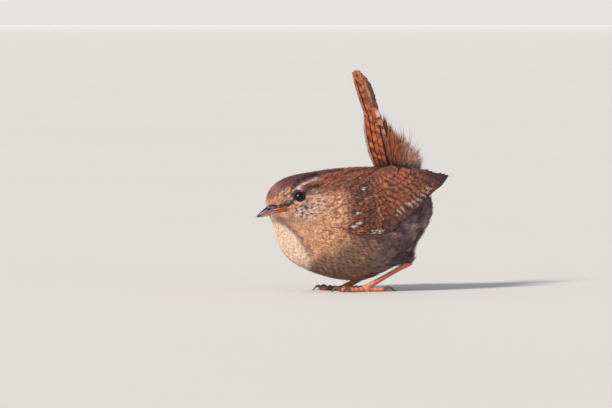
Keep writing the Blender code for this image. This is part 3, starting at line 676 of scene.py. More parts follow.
        lines = (
            (((-23.6, 37.4), (-20.7, 39.5), (-17.5, 40.8), (-13.5, 41.7)), 0.85, self.eye_stripe, 0.85),
            (((-19.4, 35.6), (-17.2, 37.0), (-14.6, 38.0)), 0.9, self.eye_stripe, 0.9),
            (((-16.0, 36.3), (-11.5, 37.1)), 0.8, self.eye_stripe, 0.4),
            (((-27.4, 30.7), (-25.2, 31.1), (-23.2, 32.3)), 0.85, self.eye_stripe, 0.95),
            (((-21.7, 37.0), (-20.4, 37.7)), 0.5, self.brow, 1.0),
            (((-20.3, 38.1), (-18.9, 38.7)), 0.48, self.brow, 1.0),
            (((-18.6, 38.7), (-17.2, 39.3)), 0.42, self.brow, 0.85),
            (((-16.2, 39.6), (-14.7, 40.2)), 0.6, self.brow, 0.85),
            (((-13.6, 39.8), (-12.6, 40.1)), 0.45, self.brow, 0.4),
        )
        for line, reach, colour, strength in lines:
            near = line_distance(p, line) + 1.3 * (fine - 0.5) * reach
            c = over(c, colour, soft_step(reach, reach * 0.45, near) * strength)
        ring = soft_step(3.2, 2.8, from_eye)
        c = over(c, self.eye_stripe, soft_step(2.7, 2.2, from_eye) * 0.9)
        broken = soft_step(0.3, 0.5, fine)
        c = over(c, self.brow, ring * soft_step(2.15, 2.4, from_eye) * soft_step(0.62, 0.8, sine)
                 * soft_step(ex + 1.6, ex + 0.4, x) * broken)
        c = over(c, self.lore, ring * soft_step(-0.6, -0.8, sine) * (0.3 + 0.7 * broken))
        return over(c, self.bristle, 1.6 * blob(p, (-32.3, 31.5), (1.0, 1.1)))


# The body


@dataclass
class Trunk:
    """Head, neck and body as one form, with the feathered thighs swelling out of it."""

    rings: tuple = (
        ((-31.6, 31.2), (-29.7, 27.0), 1.7, 0.50), ((-31.2, 34.4), (-29.1, 24.6), 2.8, 0.50),
        ((-29.3, 37.4), (-28.4, 22.2), 4.3, 0.48), ((-25.6, 39.9), (-27.6, 19.2), 6.2, 0.46),
        ((-20.7, 41.5), (-26.3, 15.6), 8.1, 0.47), ((-14.8, 42.5), (-23.8, 12.1), 10.5, 0.50),
        ((-8.2, 43.4), (-19.2, 8.9), 13.4, 0.52), ((-0.8, 44.0), (-12.2, 6.0), 16.0, 0.52),
        ((5.8, 44.2), (-4.1, 4.1), 17.0, 0.52), ((12.1, 43.9), (4.3, 4.0), 16.8, 0.52),
        ((17.6, 42.8), (12.4, 7.7), 15.6, 0.51), ((22.0, 40.6), (19.0, 13.4), 13.4, 0.50),
        ((25.3, 37.4), (23.8, 18.8), 10.3, 0.50), ((27.5, 33.7), (27.1, 24.5), 6.0, 0.50),
        ((28.4, 30.6), (28.4, 28.4), 1.6, 0.50),
    )
    steps: int = 8
    around: int = 96
    hip: tuple = (10.5, 8.2, 20.0)
    heel: tuple = (19.0, 7.4, 10.4)
    heel_shift: dict = field(default_factory=lambda: {"left": 0.64, "right": -0.64})
    thigh: tuple = ((0.0, 4.6), (0.35, 4.5), (0.7, 3.7), (1.0, 2.5), (1.12, 1.2))
    bulge_reach: float = 5.0
    pinch_x: tuple[float, float] = (-31.5, -23.6)
    pinch_width: tuple[float, float] = (0.8, 2.4)

    def __post_init__(self) -> None:
        """Works out the outer form, its directions, and the skin under the coat."""
        self.outer = self._pinched(self._swollen(self._ovals()))
        self.normals, self.lies = self._directions(self.outer)
        flat = self.outer.reshape(-1, 3)
        self.depths = coat_depth(flat).reshape(self.outer.shape[:2])
        self.depths[0], self.depths[-1] = self.depths[0] * 0.4, self.depths[-1] * 0.4
        self.skin = self.outer - self.normals * self.depths[..., None]
        self.faces = grid_faces(len(self.outer), self.around, True)
        self.surface = Surface(flat, self.faces)

    def _ovals(self) -> Array:
        """The rings as oval sections, each starting at its top."""
        rows = [(*top, *bottom, half, widest) for top, bottom, half, widest in self.rings]
        turn = np.linspace(0, 2 * np.pi, self.around, endpoint=False)
        out = []
        for tx, tz, bx, bz, half, widest in curve_through(rows, self.steps):
            lean = math.log(widest) / math.log(0.5)
            down = ((1 - np.cos(turn)) / 2) ** lean
            out.append(np.stack((mix(tx, bx, down), half * np.sin(turn), mix(tz, bz, down)), axis=1))
        return np.array(out)

    def _directions(self, grid: Array) -> tuple[Array, Array]:
        """Outward and backward directions of the form.

        Args:
            grid: Its points, ring by ring.

        Returns:
            The outward directions, and the lie of the feathers.
        """
        back = np.gradient(grid, axis=0)
        round_ = np.roll(grid, -1, axis=1) - np.roll(grid, 1, axis=1)
        out = unit(np.cross(round_, back))
        middle = grid.mean(axis=1, keepdims=True)
        flip = np.sign(np.sum(out * (grid - middle), axis=-1, keepdims=True))
        return out * np.where(flip == 0, 1, flip), unit(back)

    def _thigh_gap(self, p: Array, word: str) -> Array:
        """How far points lie outside one thigh, negative inside it."""
        hip = np.array((self.hip[0], SIDES[word] * self.hip[1], self.hip[2]))
        heel = np.array((self.heel[0] + self.heel_shift[word], SIDES[word] * self.heel[1], self.heel[2]))
        run = heel - hip
        s = np.clip(((p - hip) @ run) / (run @ run), 0, self.thigh[-1][0])
        return np.linalg.norm(p - hip - s[..., None] * run, axis=-1) - look_up(self.thigh, s)

    def _swollen(self, grid: Array) -> Array:
        """The form with the thighs pushed out of it, smoothly.

        Args:
            grid: The plain form.

        Returns:
            The swollen form.
        """
        normals, _ = self._directions(grid)
        push = np.zeros(grid.shape[:2])
        for step in np.arange(0.2, self.bulge_reach, 0.2):
            p = grid + normals * step
            reached = np.minimum(self._thigh_gap(p, "left"), self._thigh_gap(p, "right")) < 0
            push = np.where(reached, step, push)
        for _ in range(6):
            padded = np.pad(push, ((1, 1), (0, 0)), mode="edge")
            push = (push * 2 + padded[:-2] + padded[2:] + np.roll(push, 1, 1) + np.roll(push, -1, 1)) / 6
        return grid + normals * push[..., None]

    def _pinched(self, grid: Array) -> Array:
        """Draws the cheeks in beside the bill's base, so that the mandibles stand free of them."""
        x, y, z = np.moveaxis(grid, -1, 0)
        limit = np.interp(x, self.pinch_x, self.pinch_width)
        share = soft_step(self.pinch_x[1], self.pinch_x[1] - 2.4, x) * soft_step(26.6, 28.0, z)
        top = np.interp(x, (-29.4, -27.8), (32.0, 30.6))
        share = share * soft_step(top, top - 1.2, z)
        narrow = np.sign(y) * np.minimum(np.abs(y), limit)
        return np.stack((x, mix(y, narrow, share), z), axis=-1)

    def half_width(self, x: Array, z: Array) -> Array:
        """Half the body's width at places in the side view, 0 outside it."""
        out = []
        for a, b in zip(np.ravel(x), np.ravel(z)):
            hit = self.surface.tree.ray_cast((a, -60.0, b), (0.0, 1.0, 0.0))
            out.append(-hit[0][1] if hit[0] is not None else 0.0)
        return np.array(out).reshape(np.shape(x))

    def build(self, markings: Markings) -> bpy.types.Object:
        """The skin that shows between the feathers."""
        bm, places = loft(list(self.skin))
        points = np.array([self.skin[place] for place in places])
        # The skin takes the plumage's colour at a shaded root, a little darker still: painted shade in the
        # gaps between feathers.
        colours = markings.at(points, np.full(len(points), 0.3)) * 0.92
        mesh = finished_mesh(bm, "skin", colours)
        return place_piece(mesh, SKIN, ("head", "neck", "torso", "thigh_left", "thigh_right"))


def coat_depth(p: Array) -> Array:
    """How deep the coat is: thin on the face, deeper over the body."""
    x = p[:, 0]
    return 0.28 + 0.5 * soft_step(-27, -12, x) + 0.35 * soft_step(-14, 6, x)


# Feathers made of slim blades


@dataclass
class Feathers:
    """Small feathers to grow, one row a feather."""

    roots: Array
    lies: Array
    depths: Array
    lengths: Array
    widths: Array
    lifts: Array
    blades: Array
    places: Array

    def part(self, keep: Array) -> "Feathers":
        """The feathers that a mask keeps."""
        return Feathers(*(getattr(self, name)[keep] for name in self.__dataclass_fields__))


@dataclass(frozen=True)
class BladeShape:
    """Form of the blades that a feather fans into."""

    stations: tuple[float, ...] = (0.0, 0.42, 0.8, 1.0)
    profile: tuple[float, ...] = (0.55, 1.0, 0.62)
    fan: float = 0.85
    thickness: float = 0.03
    droop: float = 0.07
    scatter: float = 0.05


def closed_blades(lines: Array, side: Array, out: Array, half: Array, ridge: float,
                  s: Array) -> tuple[Array, Array, Array]:
    """Slim closed blades of three edges, each ending in a point.

    Args:
        lines: Their middle lines, blade by blade.
        side: Directions across them.
        out: Directions that they face.
        half: Half widths at every station but the last.
        ridge: How far the middle edge stands up.
        s: The stations, from 0 to 1.

    Returns:
        The vertices, the faces, and how far along its blade each vertex lies.
    """
    base = lines[:, :-1]
    blades, stations = base.shape[:2]
    across = side * half[..., None]
    body = np.stack((base - across, base + out * ridge, base + across), axis=2)
    vertices = np.concatenate((body.reshape(blades, -1, 3), lines[:, -1:]), axis=1)
    pattern = [(0, 2, 1)]
    for k in range(stations - 1):
        a, b = 3 * k, 3 * k + 3
        for m in range(3):
            n = (m + 1) % 3
            pattern += [(a + m, a + n, b + n), (a + m, b + n, b + m)]
    last, tip = 3 * (stations - 1), 3 * stations
    pattern += [(last + m, last + (m + 1) % 3, tip) for m in range(3)]
    faces = np.array(pattern)[None] + (np.arange(blades) * (tip + 1))[:, None, None]
    along = np.concatenate((np.repeat(s[:-1], 3), [1.0]))
    return vertices.reshape(-1, 3), faces.reshape(-1, 3), np.tile(along, blades)


def grow(feathers: Feathers, surface: Surface, shape: BladeShape, markings: Plumage,
         rng: np.random.Generator) -> MeshArrays:
    """Grows feathers over a surface, each as a fan of slim closed blades.

    Args:
        feathers: What to grow.
        surface: What they lie over.
        shape: Form of the blades.
        markings: Their colours.
        rng: Source of the small differences between them.

    Returns:
        The gathered shapes.
    """
    s = np.array(shape.stations)
    reach = feathers.lengths[:, None] * s
    line = feathers.roots[:, None] + feathers.lies[:, None] * reach[..., None]
    line, normals = surface.nearest(line)
    normals = unit(normals)
    height = -feathers.depths[:, None] * (1 - s) ** 1.3 + feathers.lifts[:, None] * s
    line = line + normals * height[..., None]
    ahead = unit(np.gradient(line, axis=1))
    side = unit(np.cross(normals, ahead))

    owner = np.repeat(np.arange(len(feathers.roots)), feathers.blades)
    first = np.repeat(np.cumsum(feathers.blades) - feathers.blades, feathers.blades)
    number = np.arange(len(owner)) - first
    total = feathers.blades[owner]
    share = np.where(total > 1, 2 * number / np.maximum(total - 1, 1) - 1, 0.0)
    share = share + rng.uniform(-0.25, 0.25, len(share)) / np.maximum(total, 1) * 2
    half = feathers.widths[owner] / 2
    blade_half = half / total * 1.3
    offset = (share * half)[:, None] * (0.25 + shape.fan * s**0.8)
    length = 1 - 0.22 * share**2 + rng.uniform(-0.14, 0.14, len(share))
    centre = mix(line[owner][:, :1], line[owner], length[:, None, None])
    drop = -shape.droop * (share**2)[:, None] * s * feathers.widths[owner][:, None] * 0.5
    drop = drop + rng.normal(0, 0.018, len(share))[:, None] * s
    points = centre + side[owner] * offset[..., None] + normals[owner] * drop[..., None]

    wide = blade_half[:, None] * np.array(shape.profile)
    flat, faces, flat_along = closed_blades(points, side[owner][:, :-1], normals[owner][:, :-1], wide,
                                            shape.thickness, s)
    stations, blades = len(s) - 1, len(owner)
    size = stations * 3 + 1
    colours = markings.at(flat, flat_along)
    feather_tone = rng.normal(1.0, shape.scatter, len(feathers.roots))[owner]
    blade_tone = feather_tone * rng.normal(1.0, shape.scatter * 1.8, blades)
    colours = colours * np.clip(np.repeat(blade_tone, size), 0.5, 1.6)[:, None]

    across = np.concatenate((np.tile((-1.0, 0.0, 1.0), stations), [0.0]))
    local_u = np.repeat(share * 0.8, size) + np.tile(across, blades) * 0.2
    spot = np.repeat(feathers.places[owner], size, axis=0)
    patches = spot + np.stack((local_u * PATCH / 2, (flat_along - 0.5) * PATCH), axis=1)
    out = MeshArrays()
    out.add(flat, faces, colours, np.clip(patches, 0, 1), np.stack((flat_along, local_u), axis=1))
    return out


def spread_out(points: Array, gaps: Array) -> Array:
    """Thins points so that none is nearer to a kept one than its gap.

    Args:
        points: Candidates, in the order that they are tried.
        gaps: The gap that each wants.

    Returns:
        Numbers of the kept points.
    """
    cell = float(gaps.max())
    cells: dict[tuple[int, int, int], list[int]] = {}
    keys = np.floor(points / cell).astype(int).tolist()
    rows = points.tolist()
    squares = (gaps**2).tolist()
    near = list(itertools.product((-1, 0, 1), repeat=3))
    kept = []
    for i, (a, b, c) in enumerate(keys):
        x, y, z = rows[i]
        others = (rows[j] for da, db, dc in near for j in cells.get((a + da, b + db, c + dc), ()))
        if all((q[0] - x) ** 2 + (q[1] - y) ** 2 + (q[2] - z) ** 2 >= squares[i] for q in others):
            kept.append(i)
            cells.setdefault((a, b, c), []).append(i)
    return np.array(kept)


@dataclass
class BodyCoat:
    """The small feathers of head and body, which lie over the wings' front edges too."""

    trunk: Trunk
    form: "WingForm"
    eye_at: tuple[float, float] = EYE_AT
    covered: tuple = ((-7.0, 25.0), (-4.0, 24.5), (4.0, 25.0), (13.0, 29.5), (17.0, 33.5), (14.0, 38.5),
                      (3.0, 39.8), (-5.0, 38.0))
    bare: tuple = ((-33.0, 26.0), (-30.4, 27.3), (-28.0, 27.9), (-26.2, 28.6), (-24.6, 29.5), (-22.9, 29.9),
                   (-24.4, 30.3), (-26.8, 30.2), (-28.2, 30.4), (-30.2, 31.0), (-33.0, 32.0))
    names: tuple[str, ...] = ("face", "crown_and_throat", "nape_and_breast", "shoulders", "back", "sides",
                              "flanks", "rump")
    seed: int = 11
    crowding: float = 3.2
    shape: BladeShape = BladeShape()

    def __post_init__(self) -> None:
        """Lays the form that the coat grows on over the wings' front."""
        x, y, z = np.moveaxis(self.trunk.outer, -1, 0)
        share = soft_step(-16.0, -9.0, x) * soft_step(2.0, 0.0, x) * soft_step(21.5, 26.0, z)
        share = share * soft_step(43.0, 39.5, z) * (np.abs(y) > 7)
        wing = np.maximum(np.abs(y), self.form.out(x, z) + 0.7)
        self.grid = np.stack((x, np.sign(y) * mix(np.abs(y), wing, share), z), axis=-1)
        self.surface = Surface(self.grid.reshape(-1, 3), self.trunk.faces)

    @staticmethod
    def flank(p: Array) -> Array:
        """How far a place lies in the loose plumage of the rear flank, from 0 to 1."""
        return soft_step(5.0, 12.0, p[:, 0] - (p[:, 2] - 14) * 0.2) * soft_step(36, 30, p[:, 2])

    def gap(self, p: Array) -> Array:
        """Distance between neighbouring feathers: small on the face."""
        face = self._from_eye(p)
        x = p[:, 0]
        wide = 0.38 + 0.18 * soft_step(4, 13, face) + 0.2 * soft_step(-14, 0, x)
        return np.where(x < -26, np.minimum(wide, 0.42), wide) + 0.5 * self.flank(p)

    def length(self, p: Array) -> Array:
        """Length of a feather: shortest at bill and eye, longest on the flank."""
        near = np.minimum(self._from_eye(p), np.hypot(p[:, 0] + 30.5, p[:, 2] - 29.0))
        x, z = p[:, 0], p[:, 2]
        base = 0.85 + 2.4 * soft_step(1.5, 13, near) + 1.3 * soft_step(-20, -4, x)
        base = base + 0.7 * blob(p, (-31.6, 31.8), (1.2, 1.2))
        return base + 1.1 * soft_step(4, 18, x) * soft_step(34, 24, z) + 1.1 * self.flank(p)

    def _from_eye(self, p: Array) -> Array:
        """How far points lie from the eye, in the side view."""
        return np.hypot(p[:, 0] - self.eye_at[0], p[:, 2] - self.eye_at[1])

    def _roots(self, rng: np.random.Generator) -> tuple[Array, ...]:
        """Places the feathers evenly over the form.

        Args:
            rng: Source of the candidates.

        Returns:
            Root points, lies, depths, and places on the unwrap.
        """
        grid = self.grid
        rows, around = grid.shape[:2]
        du = np.linalg.norm(np.roll(grid, -1, 1) - grid, axis=-1)[:-1]
        dv = np.linalg.norm(grid[1:] - grid[:-1], axis=-1)
        area = (du * dv).ravel()
        wanted = area / self.gap(grid[:-1].reshape(-1, 3)) ** 2
        count = int(wanted.sum() * self.crowding)
        cells = rng.choice(len(area), count, p=wanted / wanted.sum())
        i, j = cells // around, cells % around
        a, b = rng.random(count), rng.random(count)
        k = (j + 1) % around

        def blend(table: Array) -> Array:
            wa, wb = (a[:, None], b[:, None]) if table.ndim == 3 else (a, b)
            return mix(mix(table[i, j], table[i + 1, j], wa), mix(table[i, k], table[i + 1, k], wa), wb)

        points = blend(grid)
        keep = spread_out(points, self.gap(points))
        places = np.stack(((j + b) / around, (i + a) / (rows - 1)), axis=1)
        lies, depths = unit(blend(self.trunk.lies)[keep]), blend(self.trunk.depths)[keep]
        return points[keep], lies, depths, places[keep]

    def feathers(self, rng: np.random.Generator) -> Feathers:
        """The feathers of the whole body, with the face kept clear of eye and bill.

        Args:
            rng: Source of the small differences.

        Returns:
            The feathers.
        """
        roots, lies, depths, places = self._roots(rng)
        eye = np.array((self.eye_at[0], 0.0, self.eye_at[1]))
        away = (roots - eye) * np.array((1.0, 0.0, 1.0))
        distance = np.linalg.norm(away, axis=1)
        before = soft_step(6.0, 2.2, distance) * (roots[:, 0] < self.eye_at[0] + 0.5)
        lies = unit(lies + unit(away) * (0.9 * before)[:, None])
        lore = np.minimum(1, 1.5 * blob(roots, (-27.0, 33.0), (2.6, 2.2)))
        lies[:, 2] += 0.7 * lore
        nasal = np.minimum(1, 1.6 * blob(roots, (-31.8, 31.8), (1.1, 1.0)))[:, None]
        lies = mix(lies, np.array((-1.0, 0.0, -0.15)), nasal)
        flank = self.flank(roots)
        lies = lies + rng.normal(0, 1, lies.shape) * (0.09 + 0.14 * flank)[:, None]
        lies[:, 2] += 0.3 * flank
        lies = unit(lies)
        length = self.length(roots) * rng.uniform(0.8, 1.2, len(roots))
        lift = 0.04 + 0.04 * soft_step(-24, -4, roots[:, 0]) + 0.6 * flank + 0.35 * nasal[:, 0]
        lift = lift * rng.uniform(0.5, 1.5, len(roots))
        width = length * mix(0.4, 0.34, soft_step(1.0, 3.2, length)) + 0.32 * flank * length
        blades = np.digitize(length, (1.0, 1.4, 1.9, 2.4, 3.0, 3.8, 4.6)) + 3
        wing = inside(roots[:, 0], roots[:, 2], self.covered) & (np.abs(roots[:, 1]) > 8)
        keep = ~wing & (distance > 1.8) & ~inside(roots[:, 0], roots[:, 2], self.bare)
        made = Feathers(roots, lies, depths, length, width, lift, blades, places)
        return made.part(keep)

    def build(self, markings: Markings) -> None:
        """Grows the coat and splits it, front to back, into pieces of bounded size."""
        rng = np.random.default_rng(self.seed)
        feathers = self.feathers(rng)
        order = np.argsort(feathers.roots[:, 0], kind="stable")
        feathers = feathers.part(order)
        faces = np.cumsum(feathers.blades) * (6 * (len(self.shape.stations) - 2) + 4)
        pieces = int(faces[-1] // PIECE_LIMIT) + 1
        share = faces[-1] / pieces
        for k in range(pieces):
            mask = (faces > k * share) & (faces <= (k + 1) * share)
            grown = grow(feathers.part(mask), self.surface, self.shape, markings, rng)
            place_piece(grown.mesh(f"coat_{self.names[k]}"), COAT, ())


# The wings


class Tier(Enum):
    """Rows of feathers on the folded wing."""

    PRIMARY = "primary"
    SECONDARY = "secondary"
    TERTIAL = "tertial"
    GREATER = "greater_covert"


@dataclass(frozen=True)
class Row:
    """One row of vanes: where its roots and tips run, and how its vanes are shaped."""

    tier: Tier
    count: int
    roots: tuple
    tips: tuple
    bows: tuple[float, float]
    half_width: float
    lifts: tuple[float, float]
    shape: tuple


FLIGHT = ((0.0, 0.45), (0.35, 0.88), (0.7, 1.0), (0.93, 0.72), (1.0, 0.2))
COVERT = ((0.0, 0.6), (0.5, 1.0), (0.85, 0.85), (1.0, 0.3))
WING_ROWS = (
    Row(Tier.PRIMARY, 8, ((0.0, 21.6), (2.0, 26.5)), ((20.6, 31.8), (28.2, 37.4), (33.0, 40.8)),
        (1.1, 0.8), 1.6, (-0.05, 0.04), FLIGHT),
    Row(Tier.SECONDARY, 7, ((1.5, 26.5), (1.0, 34.0)), ((31.6, 41.4), (24.4, 42.9)),
        (1.6, 0.6), 1.75, (0.25, 0.05), FLIGHT),
    Row(Tier.TERTIAL, 3, ((-1.5, 32.5), (-2.5, 37.0)), ((22.4, 42.6), (14.0, 43.2)),
        (0.8, 0.3), 2.2, (0.6, 0.08), FLIGHT),
    Row(Tier.GREATER, 9, ((-7.0, 22.8), (-7.0, 37.0)), ((5.6, 22.9), (7.4, 30.0), (6.0, 38.6)),
        (0.4, 0.2), 1.6, (0.62, 0.03), COVERT),
)


class WingForm:
    """How far from the middle plane the folded wing lies, over the side view."""

    step: float = 0.5
    skin: float = 0.9
    half: float = 17.2
    start: float = 2.0
    fall: float = 7.2
    tuck: float = 0.36
    end: float = 33.0
    centre_z: float = 24.0
    height: float = 20.5
    curl: tuple[float, float] = (1.0, 0.5)

    def __init__(self, trunk: Trunk) -> None:
        """Reads the body's width and lays the wing's sheet over it."""
        self.xs = np.arange(-20.0, 37.0, self.step)
        self.zs = np.arange(14.0, 50.0, self.step)
        x, z = np.meshgrid(self.xs, self.zs, indexing="ij")
        body = trunk.half_width(x, z)
        run = np.maximum(0, (x - self.start) / (self.end - self.start))
        half = self.half - self.fall * run**1.25 - self.tuck * np.maximum(0, self.start - x)
        rise = (z - self.centre_z) / self.height
        curl = mix(self.curl[0], self.curl[1], np.minimum(run, 1))
        sheet = half * np.sqrt(np.maximum(0.02, 1 - curl * rise**2))
        self.table = np.maximum(np.where(body > 0, body + self.skin, 0), sheet)
        for _ in range(3):
            pad = np.pad(self.table, 1, mode="edge")
            self.table = (pad[:-2, 1:-1] + pad[2:, 1:-1] + pad[1:-1, :-2] + pad[1:-1, 2:]
                          + 2 * self.table) / 6

    def out(self, x: Array, z: Array) -> Array:
        """The wing's distance from the middle plane."""
        i = np.clip((x - self.xs[0]) / self.step, 0, len(self.xs) - 1.001)
        j = np.clip((z - self.zs[0]) / self.step, 0, len(self.zs) - 1.001)
        a, b = i.astype(int), j.astype(int)
        t, t2 = i - a, j - b
        return mix(mix(self.table[a, b], self.table[a + 1, b], t),
                   mix(self.table[a, b + 1], self.table[a + 1, b + 1], t), t2)

    def points(self, side: float, x: Array, z: Array, lift: Array) -> tuple[Array, Array]:
        """Places on the wing.

        Args:
            side: -1 for the left wing and 1 for the right.
            x: Places along the bird.
            z: Heights.
            lift: How far the places stand off the wing.

        Returns:
            The points and the wing's outward directions there.
        """
        reach = 1.0
        slope_x = (self.out(x + reach, z) - self.out(x - reach, z)) / (2 * reach)
        slope_z = (self.out(x, z + reach) - self.out(x, z - reach)) / (2 * reach)
        normal = unit(np.stack((-slope_x, np.full(np.shape(x), side), -slope_z), axis=-1))
        base = np.stack((x, side * self.out(x, z), z), axis=-1)
        return base + normal * np.asarray(lift)[..., None], normal

    def surface(self, side: float) -> tuple[Array, Array]:
        """The wing's sheet as points and faces, out to the wing's own outline."""
        x, z = np.meshgrid(np.arange(-13.0, 30.0, 1.0), np.arange(20.0, 45.0, 1.0), indexing="ij")
        top = np.interp(x, (-13, 0, 15, 30), (39, 42, 43.5, 42))
        bottom = np.interp(x, (-13, -8, 2, 12, 20, 30), (25, 22, 20.5, 24, 29, 36))
        z = np.clip(z, bottom, top)
        points, _ = self.points(side, x, z, np.full(x.shape, 0.5))
        return points.reshape(-1, 3), grid_faces(*x.shape, False)


def slab(top: Array, normals: Array, thickness: float) -> tuple[Array, Array]:
    """A thin closed plate under a grid of points.

    Args:
        top: The upper face's points, rows by columns.
        normals: Outward directions at them.
        thickness: How thick the plate is.

    Returns:
        The points of both faces, and the faces as rows of four numbers.
    """
    rows, columns = top.shape[:2]
    bottom = top - normals * thickness
    points = np.concatenate((top.reshape(-1, 3), bottom.reshape(-1, 3)))
    upper = grid_faces(rows, columns, False)
    count = rows * columns
    lower = upper[:, ::-1] + count
    rim = [(i, 0) for i in range(rows)] + [(rows - 1, j) for j in range(1, columns)]
    rim += [(i, columns - 1) for i in range(rows - 2, -1, -1)] + [(0, j) for j in range(columns - 2, 0, -1)]
    edge = np.array([i * columns + j for i, j in rim])
    follow = np.roll(edge, -1)
    walls = np.stack((edge, edge + count, follow + count, follow), axis=1)
    return points, np.concatenate((upper, lower, walls))


def oriented(points: Array, faces: Array) -> Array:
    """Faces turned so that a closed mesh's volume is positive."""
    a, b, c = points[faces[:, 0]], points[faces[:, 1]], points[faces[:, 2]]
    d = points[faces[:, 3]]
    volume = np.sum(np.cross(a, b) * c) + np.sum(np.cross(a, c) * d)
    return faces if volume > 0 else faces[:, ::-1]


@dataclass
class VaneBook:
    """Gathers vanes, each with its own cell of the baking map."""

    cells: tuple[int, int]
    arrays: MeshArrays = field(default_factory=MeshArrays)
    used: int = 0

    def add(self, top: Array, normals: Array, thickness: float, colours: Array, size: tuple[float, float],
            across: Array) -> None:
        """Adds one vane.

        Args:
            top: Its upper face, stations by places across.
            normals: Outward directions.
            thickness: How thick it is.
            colours: Colours, for the same grid.
            size: Its length and half width in millimetres.
            across: Places across it, from -1 to 1.
        """
        points, faces = slab(top, normals, thickness)
        rows = top.shape[0]
        s, t = np.meshgrid(np.linspace(0, 1, rows), across, indexing="ij")
        column, row = self.used % self.cells[0], self.used // self.cells[0]
        cell = np.stack(((column + 0.06 + 0.88 * s) / self.cells[0],
                         (row + 0.1 + 0.8 * (t + 1) / 2) / self.cells[1]), axis=-1).reshape(-1, 2)
        barb = np.stack((s * size[0] - np.abs(t) * size[1] * 0.9, t * size[1]), axis=-1).reshape(-1, 2)
        paint_rows = colours.reshape(-1, 3)
        # The underside is painted at 0.8 of the top's colour: painted shade.
        self.arrays.add(points, oriented(points, faces), np.concatenate((paint_rows, paint_rows * 0.8)),
                        np.concatenate((cell, cell)), np.concatenate((barb, barb)))
        self.used += 1


ACROSS = np.array((-1.0, -0.72, -0.38, -0.1, 0.0, 0.1, 0.38, 0.72, 1.0))


@dataclass(frozen=True)
class WingColours:
    """Colours of the wing's feathers."""

    rufous: Array = tone(140, 78, 56)
    rufous_bright: Array = tone(196, 114, 74)
    bar: Array = tone(62, 36, 36)
    dusk: Array = tone(66, 46, 52)
    pale: Array = tone(228, 196, 176)
    white: Array = tone(248, 234, 222)
    ochre: Array = tone(222, 134, 76)
    tip: Array = tone(58, 40, 58)
    chequers: tuple = ((12.3, 28.4), (16.8, 30.9), (20.0, 32.0), (23.2, 34.8), (25.8, 36.9))
    spacing: tuple = ((Tier.PRIMARY, 2.3), (Tier.SECONDARY, 1.9), (Tier.TERTIAL, 1.8), (Tier.GREATER, 2.0))

    def flight(self, tier: Tier, s: Array, t: Array, points: Array, number: int) -> Array:
        """Colours over one flight feather.

        Args:
            tier: Its row.
            s: Places along it.
            t: Places across it, 1 at its lower edge.
            points: The same places in space.
            number: Its number in the row.

        Returns:
            A colour for each place.
        """
        flat = points.reshape(-1, 3)
        wobble = noise(flat, 2.8, 21).reshape(s.shape)
        fine = noise(flat, (0.7, 0.7, 0.5), 47).reshape(s.shape)
        broad = noise(flat, 4.0, 49).reshape(s.shape)
        across = soft_step(-4, 8, points[..., 0]) * 0.9 if tier is not Tier.GREATER else 0.0
        reach = points[..., 0] * (0.88 - 0.42 * across) + points[..., 2] * (0.47 + 0.4 * across)
        wave = np.sin(2 * np.pi * (reach / dict(self.spacing)[tier] + 0.3 * np.abs(t - 0.1) + wobble
                                   + 0.13 * math.sin(2.4 * number)))
        dark = soft_step(0.0, 0.5, wave + 1.3 * (fine - 0.5)) * (0.55 + 0.45 * soft_step(0.3, 0.5, broad))
        bright = soft_step(0.45, 0.7, fine) * soft_step(0.3, 0.7, wobble)
        base = over(self.rufous, self.rufous_bright, bright)
        bar = self.bar
        if tier is Tier.PRIMARY:
            base = np.broadcast_to(mix(self.rufous, self.dusk, 0.45), points.shape)
            bar = self.dusk * 0.7
            dark = np.maximum(dark, soft_step(0.84, 0.93, s))
        colours = over(base, bar, dark * 0.92)
        if tier in (Tier.PRIMARY, Tier.SECONDARY):
            near = line_distance(flat, self.chequers).reshape(s.shape)
            spots = np.sin(2 * np.pi * (reach / 1.9 + 0.9 * wobble)) + 1.2 * (fine - 0.5)
            pied = over(self.bar, self.pale, soft_step(0.35, 0.7, spots))
            colours = over(colours, pied, soft_step(1.2, 0.7, near + 2.2 * (broad - 0.5)) * 0.75)
        rear = soft_step(17, 29, points[..., 0]) * soft_step(36.5, 39.5, points[..., 2])
        colours = over(colours, self.tip, rear * 0.8)
        colours = over(colours, self.bar * 0.8, np.exp(-((t / 0.07) ** 2)) * 0.25)
        # Painted shade: each vane is darker on its upper edge, which the next vane covers, and lighter on
        # its exposed lower edge; the broad noise is an uneven tone.
        return colours * ((0.88 + 0.16 * soft_step(-1.0, 0.9, t)) * (0.62 + 0.7 * broad))[..., None]


